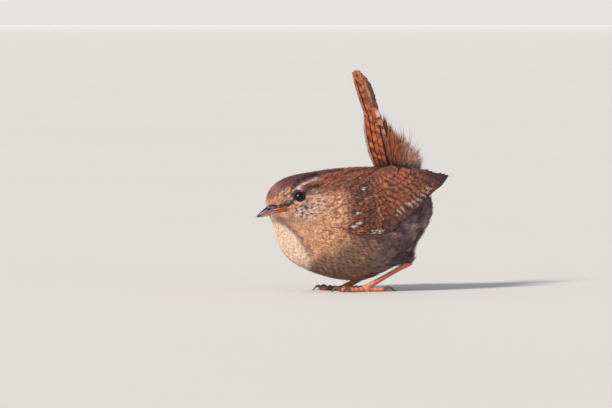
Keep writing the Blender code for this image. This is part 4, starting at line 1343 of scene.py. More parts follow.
@dataclass
class Wing:
    """One folded wing: flight feathers as vanes, and soft coverts over their roots."""

    word: str
    form: WingForm
    colours: WingColours = WingColours()
    thickness: float = 0.14
    tilt: float = 0.26
    spacing: float = 0.42
    lesser_rows: tuple = (-9.6, -8.2, -6.8, -5.4, -3.8, -2.2, -0.6, 1.0, 2.5, 4.0)

    def build(self, markings: Markings) -> None:
        """Builds the wing's two pieces."""
        rng = np.random.default_rng(WING_SEEDS[self.word])
        book = VaneBook((6, 6))
        for row in WING_ROWS:
            self._add_row(book, row, rng)
        place_piece(book.arrays.mesh(f"wing_vanes_{self.word}"), VANES,
                    (f"wing_{self.word}",))
        place_piece(self._coverts(markings, rng).mesh(f"wing_coverts_{self.word}"), COAT,
                    (f"wing_{self.word}",))

    def _add_row(self, book: VaneBook, row: Row, rng: np.random.Generator) -> None:
        """Lays one row of vanes over the wing."""
        for i in range(row.count):
            t = i / (row.count - 1)
            root, tip = self._along(row.roots, t), self._along(row.tips, t)
            tip = tip + rng.normal(0, 0.25, 2)
            lift = row.lifts[0] + row.lifts[1] * i
            self._add_vane(book, row, i, root, tip, mix(row.bows[0], row.bows[1], t), lift, rng)

    @staticmethod
    def _along(corners: tuple, t: float) -> Array:
        """A place a share t of the way along a broken line."""
        at = t * (len(corners) - 1)
        i = min(int(at), len(corners) - 2)
        return mix(np.array(corners[i]), np.array(corners[i + 1]), at - i)

    def _add_vane(self, book: VaneBook, row: Row, number: int, root: Array, tip: Array, bow: float,
                  lift: float, rng: np.random.Generator) -> None:
        """Lays one vane over the wing.

        Args:
            book: Where vanes are gathered.
            row: The vane's row.
            number: Its number in the row.
            root: Its root in the side view.
            tip: Its tip in the side view.
            bow: How far its shaft bows down.
            lift: How far it stands off the wing.
            rng: Source of its small notches.
        """
        run = tip - root
        length = float(np.linalg.norm(run))
        along = run / length
        down = np.array((along[1], -along[0]))
        stations = max(12, int(length / self.spacing))
        s = np.linspace(0, 1, stations)
        centre = root + np.outer(s, run) + np.outer(bow * 4 * s * (1 - s), down)
        half = row.half_width * look_up(row.shape, s)
        ragged = 1 + rng.normal(0, 0.05, (stations, 2))
        across = ACROSS[None] * half[:, None]
        across[:, 0] *= ragged[:, 0]
        across[:, -1] *= ragged[:, 1]
        x = centre[:, :1] + down[0] * across
        z = centre[:, 1:] + down[1] * across
        stand = (lift + self.tilt * (ACROSS[None] + 1) / 2) * (0.3 + 0.7 * s[:, None])
        stand = stand + 0.05 * np.exp(-((ACROSS[None] / 0.1) ** 2)) - 0.1 * ACROSS[None] ** 2
        points, normals = self.form.points(SIDES[self.word], x, z, stand)
        grid_s, grid_t = np.meshgrid(s, ACROSS, indexing="ij")
        colours = self.colours.flight(row.tier, grid_s, grid_t, points, number)
        book.add(points, normals, self.thickness, colours, (length, row.half_width), ACROSS)

    def _coverts(self, markings: Markings, rng: np.random.Generator) -> MeshArrays:
        """The soft small coverts, row behind row, with their spots.

        Args:
            markings: The bird's markings, which the front rows fade into.
            rng: Source of the small differences.

        Returns:
            The gathered shapes.
        """
        side = SIDES[self.word]
        xs, zs, rank = [], [], []
        for k, x in enumerate(self.lesser_rows):
            low = np.interp(x, (-13, -8, 0, 4), (27.0, 23.0, 21.3, 21.0))
            high = np.interp(x, (-13, -0.5, 0.5), (37.0, 40.4, 23.2))
            for z in np.arange(low + 0.4 * (k % 2), high, 0.95):
                xs.append(x + rng.normal(0, 0.25))
                zs.append(z + rng.normal(0, 0.2))
                rank.append(k)
        x, z, rank = np.array(xs), np.array(zs), np.array(rank)
        points, _ = self.form.points(side, x, z, np.full(len(x), 0.2))
        rise = 0.35 * soft_step(30, 22, z) + 0.1
        lies = np.stack((np.ones(len(x)), np.zeros(len(x)), rise * soft_step(-12, 0, x)), axis=1)
        lies = unit(lies + rng.normal(0, 0.05, lies.shape))
        length = np.interp(rank, (0, 6, 7), (2.6, 4.4, 2.6)) * rng.uniform(0.9, 1.1, len(x))
        blades = np.full(len(x), 7)
        places = np.stack(((x + 16) / 60, (z - 14) / 60), axis=1)
        feathers = Feathers(points, lies, np.full(len(x), 0.3), length, length * 0.62,
                            0.5 + 0.08 * rng.random(len(x)) + 0.05 * np.minimum(rank, 6), blades, places)
        surface = Surface(*self._facing())
        return grow(feathers, surface, BladeShape(), CovertMarkings(markings, self.colours), rng)

    def _facing(self) -> tuple[Array, Array]:
        """The wing's sheet with its faces turned outwards."""
        points, faces = self.form.surface(SIDES[self.word])
        a, b, c = (points[faces[:, k]] for k in range(3))
        outward = np.sign(np.median(np.cross(b - a, c - a)[:, 1])) == SIDES[self.word]
        return points, faces if outward else faces[:, ::-1]


class CovertMarkings:
    """Colours of the wing's coverts: barred rufous, with a row of pale tips."""

    def __init__(self, body: Markings, wing: WingColours) -> None:
        """Keeps both sets of colours."""
        self.body = body
        self.wing = wing

    def at(self, p: Array, along: Array) -> Array:
        """The coverts' colour.

        Args:
            p: Points on the wing.
            along: How far along its feather each lies.

        Returns:
            A linear colour for each point.
        """
        x, z = p[:, 0], p[:, 2]
        wobble = noise(p, 1.4, 41)
        fine = noise(p, (0.9, 0.9, 0.6), 43)
        wave = np.sin(2 * np.pi * ((x * 0.5 + z * 0.22) + 1.7 * wobble))
        c = over(self.wing.rufous, self.wing.rufous_bright, soft_step(0.5, 0.8, fine) * 0.9)
        c = over(c, self.wing.bar, soft_step(-0.15, 0.3, wave) * soft_step(0.12, 0.36, fine) * 0.92)
        front = soft_step(-3.5, -8.0, x + 3 * (wobble - 0.5))
        # The body's painted root shade is taken out here, since the coverts get their own below.
        c = over(c, self.body.at(p, along) / self.body.painted_root_shade(along), front)
        spots = ((0.9, 36.8, self.wing.white), (-2.0, 28.3, self.wing.white), (-1.7, 24.7, self.wing.white),
                 (-3.7, 23.6, self.wing.white), (-0.6, 31.9, self.wing.ochre))
        for sx, sz, colour in spots:
            near = soft_step(0.6, 0.3, np.hypot((x - sx + 0.8) * 0.8, z - sz))
            shadow = soft_step(1.2, 0.7, np.hypot(x - sx + 1.6, z - sz))
            c = over(over(c, self.wing.bar, shadow * 0.8), colour, near)
        edge = soft_step(1.1, 0.55, np.abs(z - np.interp(x, (-6, 0, 7), (22.1, 21.7, 21.3))))
        beads = np.sin(2 * np.pi * x / 1.5)
        bead = over(self.wing.ochre, self.wing.white, soft_step(-1.0, 0.6, x))
        c = over(c, self.wing.bar, edge * 0.7)
        c = over(c, bead, edge * soft_step(0.2, 0.6, beads) * soft_step(-5.0, -2.5, x))
        # painted shade, darkest at each covert's root where the row above covers it
        return c * (0.68 + 0.36 * along)[:, None]


# The tail


@dataclass
class Tail:
    """The cocked tail: barred vanes, and short coverts in front of them."""

    seed: int = 51
    root: tuple = (14.6, 35.5)
    tip: tuple = (-0.4, 78.7)
    pairs: int = 6
    shorter: float = 0.05
    slopes: tuple[float, float] = (16.0, 46.0)
    half_width: float = 2.15
    middle: float = 0.55
    spread: float = 3.7
    uneven: float = 0.02
    drop: float = 2.3
    stations: int = 84
    thickness: float = 0.13
    shape: tuple = ((0.0, 0.5), (0.4, 0.85), (0.8, 1.0), (0.92, 0.88), (0.975, 0.6), (1.0, 0.15))
    covert_shape: tuple = ((0.0, 0.5), (0.25, 0.8), (0.5, 1.0), (0.75, 0.95), (0.93, 0.7), (1.0, 0.35))
    coverts: tuple = ((0.1, 0.66), (0.45, 0.62), (0.8, 0.56))
    covert_lift: float = 0.62
    covert_bow: float = 2.7
    rufous: Array = tone(166, 86, 50)
    orange: Array = tone(206, 114, 60)
    bar: Array = tone(84, 44, 44)
    dusk: Array = tone(70, 44, 50)
    pale: Array = tone(222, 188, 172)

    def axes(self) -> tuple[Array, Array, Array]:
        """The tail's root, its run to the tip, and the direction behind it."""
        root = np.array((self.root[0], 0.0, self.root[1]))
        run = np.array((self.tip[0], 0.0, self.tip[1])) - root
        return root, run, unit(np.array((run[2], 0.0, -run[0])))

    def build(self) -> None:
        """Builds all the vanes as one piece."""
        rng = np.random.default_rng(self.seed)
        book = VaneBook((4, 6))
        for side in SIDES.values():
            for i in range(self.pairs):
                share = i / (self.pairs - 1)
                length = 1 - self.shorter * share**2 - (self.uneven if side > 0 or i == 0 else 0)
                self._add_vane(book, side, share, length, rng, False)
            for share, length in self.coverts:
                self._add_vane(book, side, share, length, rng, True)
        place_piece(book.arrays.mesh("tail_vanes"), VANES, ("tail",))

    def _add_vane(self, book: VaneBook, side: float, share: float, length: float,
                  rng: np.random.Generator, covert: bool) -> None:
        """Adds one tail feather.

        Args:
            book: Where vanes are gathered.
            side: -1 for the left half and 1 for the right.
            share: 0 for the middle feather and 1 for the outermost.
            length: Its length as a share of the tail's.
            rng: Source of its small notches.
            covert: Whether it is one of the short ones in front, which bow forward.
        """
        root, run, behind = self.axes()
        out = np.array((0.0, side, 0.0))
        slope = math.radians(mix(self.slopes[0], self.slopes[1], share))
        across = out * math.cos(slope) + behind * math.sin(slope)
        normal = out * math.sin(slope) - behind * math.cos(slope)
        length *= 1 - abs(rng.normal(0, 0.012))
        s = np.linspace(0, 1, self.stations if not covert else self.stations * 2 // 3)
        lift = self.covert_lift if covert else 0.0
        bow = self.covert_bow * (1 - 0.4 * share) * np.sin(np.pi * s) if covert else np.zeros_like(s)
        centre = root + np.outer(length * s, run)
        centre = centre + np.outer((self.middle + self.spread * share) * mix(0.35, 1.0, s), out)
        centre = centre + np.outer((self.drop * share - lift) * mix(0.7, 1.0, s) - bow, behind)
        half = self.half_width * look_up(self.covert_shape if covert else self.shape, s)
        t = ACROSS[None] * half[:, None]
        ragged = 1 + rng.normal(0, 0.06, (len(s), 2))
        ragged = ragged - np.abs(rng.normal(0, 0.4, (len(s), 2))) * (s[:, None] > 0.93)
        t[:, 0] *= ragged[:, 0]
        t[:, -1] *= ragged[:, 1]
        top = centre[:, None] + across * t[..., None]
        camber = 0.06 * np.exp(-((ACROSS / 0.1) ** 2)) - 0.22 * ACROSS**2
        top = top + normal * camber[None, :, None]
        top = top + normal * (0.02 * rng.normal(0, 1, (len(s), 1, 1)))
        normals = np.broadcast_to(normal, top.shape)
        grid_s, grid_t = np.meshgrid(s * length, ACROSS, indexing="ij")
        colours = self._colours(grid_s, grid_t, top, share, covert, rng.random())
        size = (length * float(np.linalg.norm(run)), self.half_width)
        book.add(top, normals, self.thickness, colours, size, ACROSS)

    def _colours(self, s: Array, t: Array, points: Array, share: float, covert: bool,
                 phase: float) -> Array:
        """Colours over one tail feather, barred across."""
        flat = points.reshape(-1, 3)
        wobble = noise(flat, 1.9, 61).reshape(s.shape)
        fine = noise(flat, (0.5, 0.5, 0.9), 63).reshape(s.shape)
        shift = phase if covert else 0.35 * phase
        wave = np.sin(2 * np.pi * (13.0 * s + 0.3 * np.abs(t) + 0.9 * wobble + shift))
        dark = soft_step(-0.05, 0.5, wave + 0.9 * (fine - 0.5))
        bright = soft_step(0.35, 0.7, fine) * soft_step(0.25, 0.6, wobble)
        base = over(self.rufous, self.orange, bright)
        colours = over(base, self.bar, dark * 0.85)
        if share > 0.7 and not covert:
            web = soft_step(0.15, 0.35, t)
            pied = over(self.pale, self.dusk, dark)
            middle = soft_step(0.42, 0.48, s) * soft_step(0.70, 0.64, s)
            colours = over(colours, pied, web * middle * soft_step(0.3, 0.5, fine) * 0.7)
            colours = over(colours, self.dusk, web * soft_step(0.64, 0.72, s) * 0.85)
            streak = np.exp(-((t / 0.09) ** 2)) * soft_step(0.6, 0.75, s) * soft_step(0.3, 0.6, fine)
            colours = over(colours, self.pale, streak * 0.7)
        colours = over(colours, self.bar, np.exp(-((t / 0.07) ** 2)) * 0.45)
        end = s / max(s.max(), 1e-6)
        colours = over(colours, self.orange, soft_step(0.95, 0.985, end) * soft_step(0.3, 0.6, fine) * 0.8)
        if covert:
            front = soft_step(-0.3, -0.95, t) * soft_step(0.1, 0.3, s) * (1 - share)
            colours = over(colours, self.pale, front * 0.6)
        foot = soft_step(0.30, 0.21, s)
        return over(colours, self.dusk * 0.6, foot * 0.8) * (0.8 + 0.3 * fine)[..., None]


@dataclass
class TailCoverts:
    """The loose fluffy coverts behind the tail's root."""

    tail: Tail
    tiers: tuple = (
        ((12.6, 45.5), (10.6, 63.0), 3.0), ((13.4, 45.0), (12.6, 61.0), 3.3),
        ((14.2, 44.5), (14.8, 58.8), 3.6), ((15.4, 43.6), (18.0, 56.4), 3.9),
        ((16.4, 42.8), (20.8, 54.6), 4.0), ((17.4, 42.0), (23.2, 52.6), 4.0),
        ((18.4, 41.0), (25.4, 50.4), 3.9), ((19.2, 40.2), (26.8, 47.6), 3.6),
        ((19.8, 39.4), (26.8, 44.6), 3.4),
    )
    seed: int = 71
    plumes: int = 18
    plume_width: float = 2.6
    plume_blades: int = 40
    stray_width: float = 0.5
    stray_blades: int = 5
    strays: tuple = (((18.4, 46.0), (17.4, 59.4)), ((19.6, 45.2), (20.4, 59.6)),
                     ((17.0, 47.0), (15.6, 58.6)), ((21.2, 44.4), (25.4, 52.6)))
    turn: float = 74.0
    rufous: Array = tone(186, 112, 76)
    bar: Array = tone(96, 54, 50)
    pink: Array = tone(220, 176, 156)
    grey: Array = tone(120, 94, 102)
    white: Array = tone(244, 226, 216)

    def build(self) -> None:
        """Grows the coverts as fans of long soft blades."""
        rng = np.random.default_rng(self.seed)
        out = MeshArrays()
        _, _, behind = self.tail.axes()
        for fore, rear in zip(self.tiers, self.tiers[1:]):
            for share in np.linspace(-1, 1, self.plumes) + rng.normal(0, 0.05, self.plumes):
                w = rng.random()
                root2, tip2 = (mix(np.array(fore[k]), np.array(rear[k]), w) for k in (0, 1))
                half = mix(fore[2], rear[2], w)
                side = 1.0 if share > 0 else -1.0
                turn = math.radians(self.turn * abs(share))
                root = np.array((root2[0] - 0.4 * abs(share), share * half * 0.45, root2[1]))
                back = (tip2[0] - root2[0] + 2.4) * 0.3 * abs(share)
                tip = np.array((tip2[0] - back, share * half * 1.05, tip2[1]))
                tip = mix(root, tip, rng.uniform(0.84, 0.98) - 0.08 * share**2)
                face = unit(behind * math.cos(turn) + np.array((0, side, 0)) * math.sin(turn))
                self._add_plume(out, root, tip, face, self.plume_width, self.plume_blades, rng)
        for (rx, rz), (tx, tz) in self.strays:
            root, tip = np.array((rx, rng.normal(-1, 1), rz)), np.array((tx, rng.normal(-1.5, 1), tz))
            self._add_plume(out, root, tip, behind, self.stray_width, self.stray_blades, rng)
        place_piece(out.mesh("undertail_plumes"), COAT, ("undertail_coverts",))

    def _add_plume(self, out: MeshArrays, root: Array, tip: Array, face: Array, width: float, blades: int,
                   rng: np.random.Generator) -> None:
        """Adds one soft feather.

        Args:
            out: Where shapes are gathered.
            root: Its root.
            tip: Its tip.
            face: The direction that it faces.
            width: How wide it fans.
            blades: How many blades it has.
            rng: Source of the small differences.
        """
        s = np.array((0.0, 0.3, 0.62, 0.86, 1.0))
        run = tip - root
        length = float(np.linalg.norm(run))
        side = unit(np.cross(run, face))
        share = np.linspace(-1, 1, blades) + rng.normal(0, 0.08, blades)
        reach = (1 - 0.3 * share**2) * rng.uniform(0.7, 1.12, blades)
        bow = rng.normal(0.9, 0.35, blades)
        points = root + np.einsum("b,s,d->bsd", reach, s, run)
        points = points + np.einsum("b,s,d->bsd", share * width, 0.15 + 0.85 * s**0.9, side)
        arch = 4 * s * (1 - s) * 0.6 + 0.35 * s**2
        points = points + np.einsum("b,s,d->bsd", bow * (1 - 0.6 * share**2), arch, face)
        stray = rng.normal(0, 0.45, (blades, 1, 3)) * s[None, :, None] ** 1.5
        points = points + stray + rng.normal(0, 0.12, points.shape) * s[None, :, None]
        half = 0.1 * np.array((0.6, 1.0, 0.85, 0.5)) * (length / 12) ** 0.5
        flat, faces, along = closed_blades(points, side, face, half, 0.07, s)
        if np.dot(np.cross(side, unit(run)), face) <= 0:
            faces = faces[:, ::-1]
        size = len(flat) // blades
        colours = self._colours(flat, along) * np.repeat(rng.normal(1, 0.1, blades), size)[:, None]
        place = np.array((0.5 + root[1] / 20, (root[2] - 36) / 14))
        local = np.stack((np.repeat(share, size) * PATCH / 2, (along - 0.5) * PATCH), axis=1)
        out.add(flat, faces, colours, np.clip(place + local, 0, 1),
                np.stack((along * length, np.repeat(share, size)), axis=1))

    def _colours(self, p: Array, along: Array) -> Array:
        """Rufous and barred near the tail, fading to pink and grey behind."""
        back = soft_step(15.0, 22.0, p[:, 0])
        wave = np.sin(2 * np.pi * ((p[:, 2] * 0.42 - p[:, 0] * 0.16) + noise(p, 1.6, 81)))
        c = over(self.rufous, self.bar, soft_step(-0.1, 0.5, wave) * 0.85)
        fade = soft_step(0.4, 0.95, along + 0.7 * (noise(p, 1.8, 83) - 0.5))
        c = over(c, over(self.grey, self.pink, fade), back)
        c = over(c, self.white, soft_step(0.85, 1.0, along) * soft_step(0.55, 0.8, noise(p, 1.5, 85)) * back)
        # Painted shade low down, where the coverts meet the body under the tail.
        c = over(c, self.grey * 0.3, soft_step(46.2, 43.8, p[:, 2]) * 0.75)
        # painted shade, darkest at each plume's root
        return c * (0.7 + 0.42 * along)[:, None]


# Head parts


@dataclass
class Bill:
    """Two mandibles that meet along the mouth line, with nostrils and the soft gape behind them."""

    rings: tuple = (
        ((-24.4, 31.0), (-24.0, 28.9), 3.1), ((-28.4, 31.4), (-27.0, 27.9), 2.75),
        ((-30.4, 30.8), (-29.4, 27.2), 2.1),
        ((-32.2, 29.6), (-31.6, 26.8), 1.5), ((-33.8, 28.2), (-33.4, 26.55), 0.85),
        ((-34.9, 27.2), (-34.7, 26.45), 0.42), ((-35.4, 26.75), (-35.4, 26.5), 0.14),
    )
    mouth: tuple = ((-36.4, 26.1), (-35.1, 26.5), (-34.5, 26.8), (-33.1, 27.4), (-30.8, 28.2),
                    (-28.4, 29.0), (-24.0, 29.8))
    gap: float = 0.07
    steps: int = 14
    arc: int = 40
    flat: int = 10
    nostril: tuple = (-30.7, 1.5, 29.5)
    upper_dark: Array = tone(62, 42, 82)
    upper_edge: Array = tone(146, 94, 92)
    lower_pink: Array = tone(200, 134, 114)
    lower_tip: Array = tone(92, 64, 76)
    base: Array = tone(216, 132, 76)
    # painted shade inside the nostrils' openings
    nostril_shade: Array = tone(34, 22, 26)

    def build(self) -> None:
        """Builds both mandibles."""
        for word, upper in (("upper", True), ("lower", False)):
            rings = self._rings(upper)
            bm, places = loft(rings)
            points = np.array([rings[i][j] for i, j in places])
            mesh = finished_mesh(bm, f"mandible_{word}", self._colours(points, upper))
            place_piece(mesh, HORN, (f"bill_{word}",))

    def _rings(self, upper: bool) -> list[Array]:
        """Sections of one mandible, each an arc closed by the mouth's flat face."""
        rows = curve_through([(*top, *bottom, half) for top, bottom, half in self.rings], self.steps)
        mouth_x, mouth_z = np.array(self.mouth).T
        out = []
        for tx, tz, bx, bz, half in rows:
            down = np.linspace(0, 1, 200)
            gap = mix(tz, bz, down) - np.interp(mix(tx, bx, down), mouth_x, mouth_z)
            at = float(down[np.argmin(np.abs(gap))])
            share = self.gap / max(math.hypot(tx - bx, tz - bz), 1e-3)
            at = min(max(at + (-share if upper else share), 0.04), 0.96)
            limit = math.acos(1 - 2 * at)
            ends = (-limit, limit) if upper else (limit, 2 * np.pi - limit)
            turn = np.linspace(*ends, self.arc)
            level = (1 - np.cos(turn)) / 2
            wide = half * np.sin(turn) * (1 - 0.16 * (1 - level) * (1 if upper else 0))
            arc = np.stack((mix(tx, bx, level), wide, mix(tz, bz, level)), axis=1)
            t = np.linspace(0, 1, self.flat + 2)[1:-1, None]
            ring = np.concatenate((arc, mix(arc[-1], arc[0], t)))
            out.append(self._dented(ring) if upper else ring)
        return out

    def _dented(self, ring: Array) -> Array:
        """Presses the nostrils into a section."""
        for side in SIDES.values():
            depth = 0.45 * self._near_nostril(ring, side, (0.62, 0.7, 0.24))
            ring = ring - np.outer(depth, (0.0, side, 0.2))
        return ring

    def _near_nostril(self, p: Array, side: float, radii: tuple[float, float, float]) -> Array:
        """1 at one nostril's middle, falling smoothly to 0."""
        at = np.array((self.nostril[0], side * self.nostril[1], self.nostril[2]))
        return np.exp(-np.sum(((p - at) / np.array(radii)) ** 2, axis=1))

    def _colours(self, p: Array, upper: bool) -> Array:
        """Horn colours: dark above, pinkish below, warm at the base."""
        mouth_x, mouth_z = np.array(self.mouth).T
        rise = p[:, 2] - np.interp(p[:, 0], mouth_x, mouth_z)
        if upper:
            dark = np.maximum(soft_step(0.35, 0.95, rise), soft_step(-32.4, -34.6, p[:, 0]))
            c = over(self.upper_edge, self.upper_dark, dark)
            for side in SIDES.values():
                # painted shade inside each nostril's opening
                c = over(c, self.nostril_shade, self._near_nostril(p, side, (0.55, 0.8, 0.2)) * 1.3)
        else:
            c = over(self.lower_pink, self.lower_tip, soft_step(-32.2, -34.8, p[:, 0]))
        warm = soft_step(-29.6, -27.6, p[:, 0]) * soft_step(0.4, 0.12, np.abs(rise - 0.12))
        return over(c, self.base, warm * 0.9)


@dataclass
class Gape:
    """The soft yellow edge of the mouth, from the bill back to under the eye."""

    trunk: Trunk
    start: tuple = (-29.6, 29.0)
    corner: tuple = (-22.9, 30.1)
    arch: float = 0.35
    radius: float = 0.2
    points: int = 26
    around: int = 10
    bill_half: tuple = ((-30.4, 1.95), (-28.6, 2.7), (-24.4, 3.1))
    yellow: Array = tone(222, 136, 52)

    def build(self) -> None:
        """Builds the edge on both sides."""
        for word, side in SIDES.items():
            t = np.linspace(0, 1, self.points)
            x = mix(self.start[0], self.corner[0], t)
            z = mix(self.start[1], self.corner[1], t) + self.arch * np.sin(np.pi * t)
            y = np.maximum(self.trunk.half_width(x, z), look_up(self.bill_half, x))
            path = np.stack((x, side * (y - 0.05), z), axis=1)
            radii = self.radius * np.clip(np.minimum(t / 0.1 + 0.4, (1 - t) / 0.3 + 0.15), 0, 1)
            bm, _ = loft(round_rings(path, radii, self.around))
            place_piece(finished_mesh(bm, f"gape_{word}", self.yellow), GAPE, ())


@dataclass
class Eye:
    """One eye: a glossy ball set in the rim of its lids."""

    word: str
    trunk: Trunk
    lid_radius: float = 1.56
    lid_thickness: float = 0.17
    dark: Array = tone(11, 12, 24)
    iris: Array = tone(24, 18, 26)
    rim: Array = tone(40, 28, 32)

    def build(self) -> None:
        """Builds the ball and the lids."""
        low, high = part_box(f"eye_{self.word}")
        centre = (np.array(low) + np.array(high)) / 2 / MM - CENTRING
        radius = (high.y - low.y) / 2 / MM
        nearest, _ = self.trunk.surface.nearest(centre[None])
        axis = Vector(unit(nearest[0] - centre))
        self._ball(centre, radius, axis)
        self._lids(centre, radius, axis)

    def _ball(self, centre: Array, radius: float, axis: Vector) -> None:
        """The ball, with a faint iris round the pupil."""
        bm = bmesh.new()
        bmesh.ops.create_uvsphere(bm, u_segments=40, v_segments=28, radius=radius * MM * 0.985,
                                  calc_uvs=True)
        facing = np.array([v.co.normalized().z for v in bm.verts])
        self._set_in(bm, centre, axis)
        colours = over(self.dark, self.iris, soft_step(0.80, 0.84, facing) * soft_step(0.93, 0.90, facing))
        place_piece(finished_mesh(bm, f"eyeball_{self.word}", colours), EYE, (f"eye_{self.word}",))

    def _lids(self, centre: Array, radius: float, axis: Vector) -> None:
        """The lids' bare rim, spun round the eye's axis."""
        bm = bmesh.new()
        bmesh.ops.create_circle(bm, cap_ends=False, segments=10, radius=self.lid_thickness * MM)
        upright = UP.rotation_difference(Vector((0, 1, 0))).to_matrix()
        bmesh.ops.rotate(bm, cent=(0, 0, 0), matrix=upright, verts=bm.verts)
        height = math.sqrt(radius**2 - self.lid_radius**2)
        bmesh.ops.translate(bm, vec=Vector((self.lid_radius + 0.05, 0, height)) * MM, verts=bm.verts)
        bmesh.ops.spin(bm, geom=bm.verts[:] + bm.edges[:], cent=(0, 0, 0), axis=(0, 0, 1), dvec=(0, 0, 0),
                       angle=2 * math.pi, steps=48, use_merge=True, use_duplicate=False)
        bmesh.ops.remove_doubles(bm, verts=bm.verts, dist=1e-7)
        bmesh.ops.recalc_face_normals(bm, faces=bm.faces)
        self._set_in(bm, centre, axis)
        bm.loops.layers.uv.new(BAKE_MAP)
        place_piece(finished_mesh(bm, f"lids_{self.word}", self.rim), LID, ())

    @staticmethod
    def _set_in(bm: bmesh.types.BMesh, centre: Array, axis: Vector) -> None:
        """Turns a shape made round +Z to the eye's axis, and moves it to the eye's place."""
        turn = UP.rotation_difference(axis).to_matrix()
        bmesh.ops.rotate(bm, cent=(0, 0, 0), matrix=turn, verts=bm.verts)
        bmesh.ops.translate(bm, vec=Vector(to_metres(centre)), verts=bm.verts)


# Legs


@dataclass
class Leg:
    """One bare shank with its foot, toes and claws."""

    word: str
    ankle_x: float
    heel_x: float
    foot_y: float = 7.2
    heel: tuple = (7.4, 10.4)
    ankle_z: float = 1.55
    sole: float = 0.6
    toes: tuple = (("inner", 24.0, 6.6, 3.6), ("middle", 2.0, 9.4, 4.0), ("outer", -21.0, 7.2, 3.6),
                   ("hind", 184.0, 6.2, 5.2))
    toe_profile: tuple = ((0.0, 0.45, 0.95), (0.22, 0.15, 0.9), (0.42, 0.0, 0.74), (0.56, 0.06, 0.9),
                          (0.72, 0.0, 0.7), (0.88, 0.06, 0.84), (1.0, 0.08, 0.6))
    shank_profile: tuple = ((0.0, 1.1), (0.1, 1.15), (0.28, 0.9), (0.6, 0.88), (0.86, 1.05), (1.0, 1.1))
    claw_radius: float = 0.6
    claw_arch: float = 0.95
    around: int = 20
    claw_around: int = 16
    claw_rings: int = 22
    pad_rings: int = 18
    pad_reach: float = 1.75
    pad_radius: float = 1.5
    pad_z: float = 1.15
    flesh: Array = tone(214, 136, 100)
    red: Array = tone(176, 92, 72)
    pale: Array = tone(236, 180, 148)
    horn: Array = tone(116, 84, 74)
    horn_tip: Array = tone(70, 50, 48)

    def build(self) -> None:
        """Builds shank, foot and claws."""
        side = SIDES[self.word]
        ankle = np.array((self.ankle_x, side * self.foot_y, self.ankle_z))
        heel = np.array((self.heel_x, side * self.heel[0], self.heel[1]))
        self._shank(heel, ankle)
        parts = [self._pad(ankle)]
        for name, heading, length, claw in self.toes:
            turn = math.radians(heading)
            ahead = np.array((-math.cos(turn), -side * math.sin(turn), 0.0))
            path, radii = self._toe_path(ankle, ahead, length)
            parts.append(self._scuted(path, radii, 2.1, 0.09))
            self._claw(name, path[-1], ahead, claw)
        self._joined(parts, f"foot_skin_{self.word}", (f"foot_{self.word}",))

    def _scuted(self, path: Array, radii: Array, per_mm: float, depth: float) -> tuple[list[Array], Array]:
        """Rings with raised scutes along the top, and their colours.

        Args:
            path: Points along the limb.
            radii: Radius at each.
            per_mm: Scutes in each millimetre.
            depth: How much a scute stands out, as a share of the radius.

        Returns:
            The rings, and a colour for each of their points.
        """
        run = np.concatenate(([0], np.cumsum(np.linalg.norm(np.diff(path, axis=0), axis=1))))
        phase = (run * per_mm) % 1.0
        rings = round_rings(path, radii, self.around)
        turn = np.linspace(0, 2 * np.pi, self.around, endpoint=False)
        top = soft_step(-0.2, 0.5, np.cos(turn))
        out, colours = [], []
        for ring, centre, share in zip(rings, path, phase):
            rise = depth * (share**0.6) * top
            out.append(centre + (ring - centre) * (1 + rise)[:, None])
            c = over(self.flesh, self.red, (1 - top) * 0.7)
            c = over(c, self.pale, soft_step(0.72, 0.9, share) * top * 0.6)
            colours.append(over(c, self.red * 0.6, soft_step(0.14, 0.02, share) * top * 0.8))
        return out, np.array(colours)

    def _toe_path(self, ankle: Array, ahead: Array, length: float) -> tuple[Array, Array]:
        """The toe's centre line and radii, finely divided."""
        rows = curve_through(self.toe_profile, 10)
        start = np.array((ankle[0], ankle[1], self.sole))
        path = start + np.outer(rows[:, 0] * length, ahead) + np.outer(rows[:, 1], (0, 0, 1))
        return path, rows[:, 2]

    def _pad(self, ankle: Array) -> tuple[list[Array], Array]:
        """The foot's middle, under the ankle."""
        turn = np.linspace(0.02, np.pi - 0.02, self.pad_rings)
        x = ankle[0] - self.pad_reach * np.cos(turn)
        path = np.stack((x, np.full(len(x), ankle[1]), np.full(len(x), self.pad_z)), axis=1)
        rings = round_rings(path, self.pad_radius * np.sin(turn), self.around, 0.95)
        return rings, np.broadcast_to(self.flesh, (len(x), self.around, 3))

    def _shank(self, heel: Array, ankle: Array) -> None:
        """The bare shank, with long scutes in front."""
        rows = curve_through(self.shank_profile, 12)
        path = heel + np.outer(rows[:, 0], ankle - heel)
        rings, colours = self._scuted(path, rows[:, 1] * 0.94, 0.55, 0.05)
        self._joined([(rings, colours)], f"shank_skin_{self.word}", (f"shank_{self.word}",))

    def _claw(self, name: str, base: Array, ahead: Array, length: float) -> None:
        """One arched claw."""
        s = np.linspace(0, 1, self.claw_rings)
        rise = self.claw_arch * np.sin(np.pi * np.minimum(1, s * 1.15)) - 0.55 * self.claw_arch * s * s
        path = base + np.outer(length * 0.88 * s, ahead) + np.outer(rise, (0, 0, 1))
        radii = self.claw_radius * (1 - s) ** 0.8 + 0.05
        rings = round_rings(path, radii, self.claw_around, 1.1)
        rings = [np.stack((r[:, 0], r[:, 1], np.maximum(r[:, 2], 0.02)), axis=1) for r in rings]
        bm, places = loft(rings)
        along = np.array([i for i, _ in places]) / (len(rings) - 1)
        colours = over(self.horn, self.horn_tip, soft_step(0.2, 0.9, along))
        mesh = finished_mesh(bm, f"claw_horn_{name}_{self.word}", colours)
        place_piece(mesh, CLAW, (f"claw_{name}_{self.word}",))

